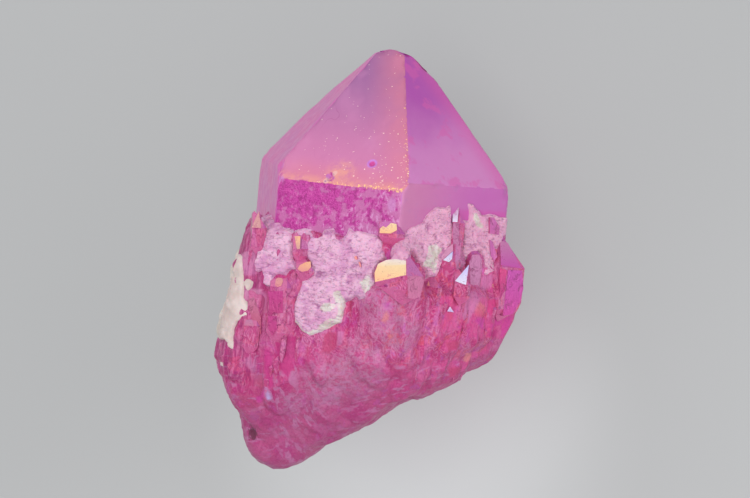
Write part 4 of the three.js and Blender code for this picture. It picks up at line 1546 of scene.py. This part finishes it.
def painted_gold_glints(shader):
    """Painted highlights: golden glints on the front cap face along its lower and right-hand edges."""
    near_right = shader.towards(CAP_POLES[1], MAIN_CAP[1] - 0.8, MAIN_CAP[1] - 0.1)
    near_low = shader.towards(PRISM_POLES[0], MAIN_PRISM[0] - 0.8, MAIN_PRISM[0] - 0.1)
    near_right *= shader.towards(C_AXIS, 27.0, 17.0)
    near_low *= shader.towards(RIGHTWARD, -10.0, 6.0)
    near = near_right.larger(near_low) + shader.distance(GLINT_CORNER).ramp(3.4, 0.4, end=0.4)
    level = shader.noise(0.36, 2.0, 0.6, offset=3.0) + near * 0.12
    return level.ramp(0.69, 0.74) * near.ramp(0.0, 0.3) * shader.facing(CAP_POLES[0], 0.9, 0.97)


def painted_glint_specks(shader):
    """Painted highlights: tiny pale glints over the front cap face, more of them low on the right."""
    lower_right = shader.towards((0.6, -0.8, 0), -20.0, 2.0)
    crowd = shader.noise(2.6, 2.0, offset=83.0) * 0.14 + lower_right * 0.05
    fine = shader.noise(0.32, 1.0, 0.5, stretch=(0.8, 1.3, 1.0), offset=91.0)
    return (fine + crowd).ramp(0.815, 0.855) * shader.facing(CAP_POLES[0], 0.9, 0.97)


def facet_hues(shader, mixed, base):
    """Turns a base hue into the one that each way a facet may face shows."""
    hues = (
        (CAP_POLES[0], (202, 104, 152), ROSE), (PRISM_POLES[0], DEEP_MAGENTA, RED_MAGENTA),
        (CAP_POLES[1], LILAC, (178, 88, 166)), (PRISM_POLES[1], (198, 112, 156), GREY_LILAC),
        (CAP_POLES[5], PINK, GREY_LILAC), (PRISM_POLES[5], ROSE, GREY_LILAC),
        (CAP_POLES[2], LILAC, GREY_LILAC), (PRISM_POLES[2], ROSE, PINK),
    )
    leaning = mixed.ramp(0.35, 0.7)
    facets = [
        (shader.facing(pole, 0.88, 0.97), shader.blend(first, second, leaning))
        for pole, first, second in hues
    ]
    return layered(base, *facets)


def facet_coat():
    """The coat on the overgrowths: the hue goes by which way a facet faces, and by crystal."""
    shader = Shader(
        "aura_coat_facets", Metallic=0.12, IOR=1.5, Coat_Weight=0.2, Coat_Roughness=0.12,
        Subsurface_Weight=0.1, Subsurface_Radius=GLOW, Subsurface_Scale=0.001,
    )
    everywhere = shader.math("ADD", 1.0, 0.0)  # where an overgrowth is etched, it is busy all over
    etched, mottle, height = etched_look(shader, everywhere)
    grain = shader.noise(0.3, 3.0, 0.65, offset=5.0)
    base = shader.blend(MAGENTA, ROSE, mottle.ramp(0.35, 0.65))
    level = shader.vector("DOT_PRODUCT", shader.normal, tuple(C_AXIS))
    eaten = (mottle + level.ramp(0.1, -0.3)).ramp(0.45, 0.62) * level.ramp(0.4, 0.1)
    painted = layered(
        shader.attribute("paint", "Color"),
        (mottle.ramp(0.44, 0.36, end=0.3), ROSE),
        (grain.ramp(0.44, 0.34, end=0.12), PLUM),
    )
    colour = layered(
        facet_hues(shader, shader.attribute("tint") * 0.75 + mottle * 0.3, base),
        (shader.attribute("calm"), base),
        (shader.noise(1.8, 2.0, offset=21.0).ramp(0.58, 0.68, end=0.4), (216, 86, 128)),
        (grain.ramp(0.5, 0.64, end=0.4), (206, 110, 160)),
        (grain.ramp(0.46, 0.32, end=0.5), PLUM),
        (eaten * 0.8, etched),
        # painted light: facets that face downwards are painted paler pink, offsetting the shade they get
        (level.ramp(-0.3, -0.6, end=0.6), (226, 106, 164)),
        (shader.attribute("paint", "Alpha"), painted),
    )
    flat = shader.noise(0.5, 3.0, 0.6, stretch=(1, 0.4, 1)) * 0.05
    return shader.finish(colour, mottle.ramp(0.3, 0.7, 0.24, 0.4), flat + height * eaten)


def root_coat(dirt, worn_places):
    """The coat on the etched root: rose and magenta, with etched rings, lilac flakes, coral and soot, and
    painted shade low on the left.
    """
    shader = Shader(
        "aura_coat_root", Metallic=0.1, IOR=1.4, Specular_Tint=(1.0, 0.5, 0.78, 1.0),
        Subsurface_Weight=0.12, Subsurface_Radius=GLOW, Subsurface_Scale=0.001,
    )
    colour, mottle, height = etched_look(shader, shader.towards(C_AXIS, -19.0, -13.0))
    left_side = shader.towards(LEFTWARD, 6.0, 9.0) * shader.towards(C_AXIS, -22.0, -17.0)
    right_side = shader.towards(RIGHTWARD, 15.0, 19.0) * 0.6
    colour = layered(
        colour,
        (worn_share(shader, worn_places), (190, 134, 168)),
        # painted shade: darker low on the left-hand side
        (left_side * 0.5, (160, 54, 108)),
        (shader.towards((0.4, -0.92, 0), 18.0, 22.0) * 0.3, (160, 82, 130)),
        (flakes(shader), (186, 118, 160)),
        (shader.facing(PRISM_POLES[1], 0.9, 0.98) * right_side, (208, 76, 140)),
        (shader.facing(PRISM_POLES[2], 0.9, 0.98) * right_side, (204, 80, 158)),
    )
    unpainted = shader.attribute("paint", "Alpha") * -1.0 + 1.0
    colour = shader.vector("MULTIPLY_ADD", colour, unpainted, shader.attribute("paint", "Color"))
    clot = shader.distance(dirt) + shader.noise(0.5, 3.0, 0.7) * 2.4
    colour = layered(
        colour,
        *streak_layers(shader),
        (shader.noise(0.4, 3.0, 0.7, offset=11.0).ramp(0.48, 0.36, end=0.25), PLUM),
        (clot.ramp(2.7, 1.9, end=0.85), (92, 44, 62)),
    )
    return shader.finish(colour, mottle.ramp(0.3, 0.7, 0.32, 0.48), height)


def worn_share(shader, worn_places):
    """How far the coat is worn, from 0 to 1, in ragged patches round some places."""
    patches = (shader.distance(place).ramp(reach, reach * 0.4) for place, reach in worn_places)
    ragged = shader.noise(0.7, 3.0, 0.6, 0.8, offset=37.0).ramp(0.4, 0.6, 0.15, 0.65)
    return functools.reduce(Field.larger, patches) * ragged


def streak_layers(shader):
    """Pale and dark streaks along the c axis on the left side."""
    streaks = shader.noise(0.5, 3.0, 0.6, 0.4, stretch=(1.0, 0.14, 1.0), offset=91.0)
    streaked = shader.towards(LEFTWARD, 7.0, 11.0) * shader.towards(C_AXIS, -25.5, -20.0)
    return (
        (streaks.ramp(0.5, 0.58, end=0.5) * streaked, (206, 122, 164)),
        (streaks.ramp(0.48, 0.4, end=0.4) * streaked, PLUM),
    )


def etched_look(shader, level):
    """The colour, mottling and height in millimetres of an etched place, busier where level is 1."""
    broad = shader.noise(4.5, 3.0, 0.55)
    mottle = shader.noise(1.2, 4.0, 0.65, 0.6, offset=5.0)
    fine = shader.noise(0.3, 2.0, 0.65, offset=9.0)
    hue = shader.noise(1.6, 3.0, 0.6, 0.8, stretch=(1.0, 0.6, 1.0), offset=63.0)
    lenses = shader.lenses(1.5, (1.0, 0.42, 1.0), 1.1)
    rightward = shader.towards(RIGHTWARD, 4.0, 16.0)
    lively = rightward.ramp(0.0, 1.0, 0.3, 0.6)
    tone = level.ramp(0.0, 1.0, 0.15, 0.45)
    grainy = level.ramp(0.0, 1.0, 0.2, 0.35)
    specks = fine + shader.noise(2.6, 2.0, offset=77.0) * 0.5
    wave = ring_wave(shader)
    rings = level * broad.ramp(0.3, 0.6, 0.3, 1.0)
    base = shader.blend((178, 54, 116), (185, 80, 124), broad.ramp(0.35, 0.65))
    colour = layered(
        base,
        (0.4, facet_hues(shader, lenses * 0.5 + mottle * 0.5, base)),
        (rightward * 0.5, (206, 74, 130)),
        (lenses.ramp(0.56, 0.6) * tone, (208, 118, 168)),
        (lenses.ramp(0.44, 0.4) * tone, (184, 40, 108)),
        (wave.ramp(0.3, 0.42, end=0.55) * rings, (210, 140, 180)),
        (wave.ramp(0.13, 0.04, end=0.45) * rings, (152, 44, 106)),
        (hue.ramp(0.55, 0.61) * lively * level, (216, 90, 112)),
        (hue.ramp(0.42, 0.36) * lively, (184, 86, 168)),
        (fine.ramp(0.54, 0.66) * grainy, (216, 132, 172)),
        (fine.ramp(0.46, 0.34) * grainy, PLUM),
        (specks.ramp(0.52, 0.44, end=0.6), SOOT),
    )
    return colour, mottle, fine * 0.07 + mottle * 0.12 + lenses * 0.12 + wave * 0.06


def ring_wave(shader):
    """Nested rings like those of etched pits, high on their ridges and low in their grooves."""
    etched = shader.noise(1.7, 1.0, 0.5, 0.6, stretch=(1.0, 0.5, 1.0), offset=27.0)
    return shader.math("PINGPONG", etched * 8.0, 0.5)


def flakes(shader):
    """Feathery, greyish flakes on the underside of the root, from 0 to 1."""
    rising = shader.turned(outward(20.0), -14.0)
    steep = shader.turned(outward(20.0), 62.0)
    lying = shader.noise(0.9, 3.0, 0.55, 0.6, stretch=(0.26, 1.0, 0.5), offset=15.0, place=rising)
    fanned = shader.noise(1.0, 3.0, 0.55, 0.6, stretch=(0.3, 1.0, 0.5), offset=33.0, place=steep)
    middle = shader.towards(RIGHTWARD, -9.0, -6.0) * shader.towards(RIGHTWARD, 3.0, -1.0)
    share = shader.blend(lying.ramp(0.55, 0.61), fanned.ramp(0.5, 0.57), middle)
    crowd = shader.noise(5.0, 2.0, offset=51.0).ramp(0.4, 0.55, 0.35, 1.0)
    return share * crowd * shader.towards(C_AXIS, -12.5, -17.0) * 0.75


def coated_matrix():
    """Rough rock tinted by the coat, bare and whitish in places, with painted shade in its hollows and
    creases.
    """
    shader = Shader("coated_matrix", Roughness=0.85, Subsurface_Weight=0.15, Subsurface_Scale=0.001)
    mottle = shader.noise(2.4, 4.0, 0.6, 0.8)
    grain = shader.noise(0.3, 3.0, 0.7, offset=3.0)
    strokes = shader.noise(1.0, 3.0, 0.6, 1.0, stretch=(0.6, 1.5, 0.6), offset=23.0)
    cracks = shader.noise(0.75, 3.0, 0.6, 0.4, stretch=(0.6, 1.3, 0.6), offset=43.0)
    crease = abs(cracks - 0.5).ramp(0.028, 0.008) * strokes.ramp(0.56, 0.44)
    patchy = mottle.ramp(0.35, 0.62)
    white = shader.blend((198, 184, 176), (230, 218, 214), patchy)
    colour = layered(
        shader.blend((213, 148, 190), (232, 182, 210), patchy),
        (shader.towards(RIGHTWARD, 6.0, 16.0) * 0.5, (230, 160, 190)),
        # painted shade in the hollows, where the relief is low
        (shader.attribute("relief").ramp(-0.05, -0.24, end=0.7), (170, 92, 148)),
        # painted shade along the creases, which are also pressed in as grooves
        (crease * 0.5, (158, 86, 138)),
        (grain.ramp(0.4, 0.28, end=0.45), (176, 92, 156)),
        (grain.ramp(0.6, 0.72, end=0.5), (240, 196, 220)),
        (shader.attribute("bare") * strokes.ramp(0.36, 0.5, 0.5, 1.0), white),
    )
    return shader.finish(colour, None, grain * 0.2 + strokes * 0.22 - crease * 0.06)


def bare_matrix():
    """White, uncoated rock."""
    shader = Shader("bare_matrix", Roughness=0.9, Subsurface_Weight=0.1, Subsurface_Scale=0.001)
    mottle = shader.noise(2.6, 3.0, 0.5)
    grain = shader.noise(0.35, 3.0, 0.7, offset=3.0)
    colour = layered(
        shader.blend((196, 182, 172), (218, 206, 198), mottle.ramp(0.35, 0.65)),
        (grain.ramp(0.42, 0.3, end=0.3), (190, 176, 166)),
        (shader.towards(outward(-10.0), 16.0, 21.0) * 0.25, (214, 176, 186)),
    )
    return shader.finish(colour, None, grain * 0.06 + mottle * 0.3)


def floor_material():
    """A pale studio sheet that glows a little, as a light table does, with a painted light gradient towards
    the foot side and a painted pool of light beside the foot that offsets the specimen's shadow.
    """
    shader = Shader(
        "pale_floor", Roughness=0.9, Emission_Color=(0.98, 1.0, 1.02, 1), Emission_Strength=0.3
    )
    # painted light: the sheet is painted paler towards the foot side
    foot_side = shader.towards((0.5, -0.85, 0.0), -10.0, 60.0)
    colour = shader.blend((108.69, 108.69, 108.01), (122.11, 122.11, 121.53), foot_side)
    # painted pool of light, palest beside the foot where the specimen's shadow falls
    pool = shader.distance(LIGHT_POOL).ramp(42.0, 10.0)
    return shader.finish(layered(colour, (pool, (152.22, 153.54, 153.1))))


# The studio.


def add_camera():
    """The photograph's camera."""
    right, up, back = camera_axes()
    data = bpy.data.cameras.new("camera")
    data.lens = CAMERA_LENS
    data.sensor_width = SENSOR_WIDTH
    camera = bpy.data.objects.new("camera", data)
    place = (AXIS + back * CAMERA_DISTANCE) * METRE
    turn = Matrix((right, up, back)).transposed()
    camera.matrix_world = Matrix.Translation(place) @ turn.to_4x4()
    bpy.context.scene.collection.objects.link(camera)
    bpy.context.scene.camera = camera


def add_light(name, direction, distance, size, watts, colour):
    """A soft square light that shines on the specimen from a direction."""
    data = bpy.data.lights.new(name, "AREA")
    data.size = size
    data.energy = watts
    data.color = colour
    light = bpy.data.objects.new(name, data)
    away = Vector(direction).normalized()
    light.location = Vector(AXIS * METRE) + away * distance
    light.rotation_euler = away.to_track_quat("Z", "Y").to_euler()
    bpy.context.scene.collection.objects.link(light)


def add_floor():
    """The level sheet that the specimen lies on."""
    steps = np.linspace(-FLOOR_REACH, FLOOR_REACH, FLOOR_POINTS)
    x, y = np.meshgrid(steps, steps, indexing="ij")
    points = np.stack((x, y, np.zeros_like(x)), axis=-1).reshape(-1, 3)
    mesh = bpy.data.meshes.new("floor")
    mesh.from_pydata(points.tolist(), [], grid_quads(FLOOR_POINTS, FLOOR_POINTS).tolist())
    floor = bpy.data.objects.new("floor", mesh)
    floor.data.materials.append(floor_material())
    bpy.context.scene.collection.objects.link(floor)


def add_studio():
    """The floor, the lights and a pale sky."""
    add_floor()
    for light in LIGHTS:
        add_light(*light)
    world = bpy.data.worlds.new("studio")
    world.use_nodes = True
    background = world.node_tree.nodes["Background"]
    background.inputs["Color"].default_value = SKY_COLOUR
    background.inputs["Strength"].default_value = SKY_STRENGTH
    bpy.context.scene.world = world
    bpy.context.scene.view_settings.view_transform = "Standard"


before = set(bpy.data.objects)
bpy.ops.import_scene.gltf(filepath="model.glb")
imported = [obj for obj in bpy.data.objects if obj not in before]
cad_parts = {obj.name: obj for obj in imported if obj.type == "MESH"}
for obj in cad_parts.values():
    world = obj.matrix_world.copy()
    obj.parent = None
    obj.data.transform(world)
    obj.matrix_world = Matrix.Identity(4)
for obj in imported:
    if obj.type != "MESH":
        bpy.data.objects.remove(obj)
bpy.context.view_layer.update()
skin = Skin(step_growths() + scattered_growths())
skin.swell(SWELLS)
skin.fit_outline(OUTLINE)
dirt = skin.seen([DIRT_PIXEL])[0]
worn_places = [(skin.seen([pixel])[0], reach) for pixel, reach in WORN_PLACES]
coated_outlines = tuple(skin.places(outline) for outline in COATED_OUTLINES)
bare_spots = tuple(skin.places(outline) for outline in BARE_SPOTS)
coated_layer = matrix_layer(
    "matrix_coated", coated_outlines, COATED_SWELLS, COATED_SPAN, skin, bare_spots
)
bare_outlines = (
    skin.places(BARE_OUTLINE) + HIDDEN_BARE_OUTLINES[0], HIDDEN_BARE_OUTLINES[1], skin.places(BARE_ISLAND)
)
bare_layer = matrix_layer("matrix_bare", bare_outlines, BARE_SWELLS, BARE_SPAN, skin)
root_facets = tuple((*colours, skin.places(outline)) for *colours, outline in ROOT_FACETS)
broad_facets = tuple(skin.places(outline) for *_, outline in FACETS)
taken = coated_outlines + bare_outlines + broad_facets
pieces = (
    (main_crystal(), main_coat(), "aura_coat"),
    (root_piece(skin, dirt, root_facets), root_coat(dirt, worn_places), "aura_coat"),
    (overgrowth_piece(skin, taken), facet_coat(), "aura_coat"),
    (coated_layer, coated_matrix(), "coated_matrix"),
    (bare_layer, bare_matrix(), "bare_matrix"),
)
for piece, material, slot in pieces:
    piece.data.materials.append(material)
    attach(piece, "root")
    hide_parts(NODE)
add_studio()
add_camera()
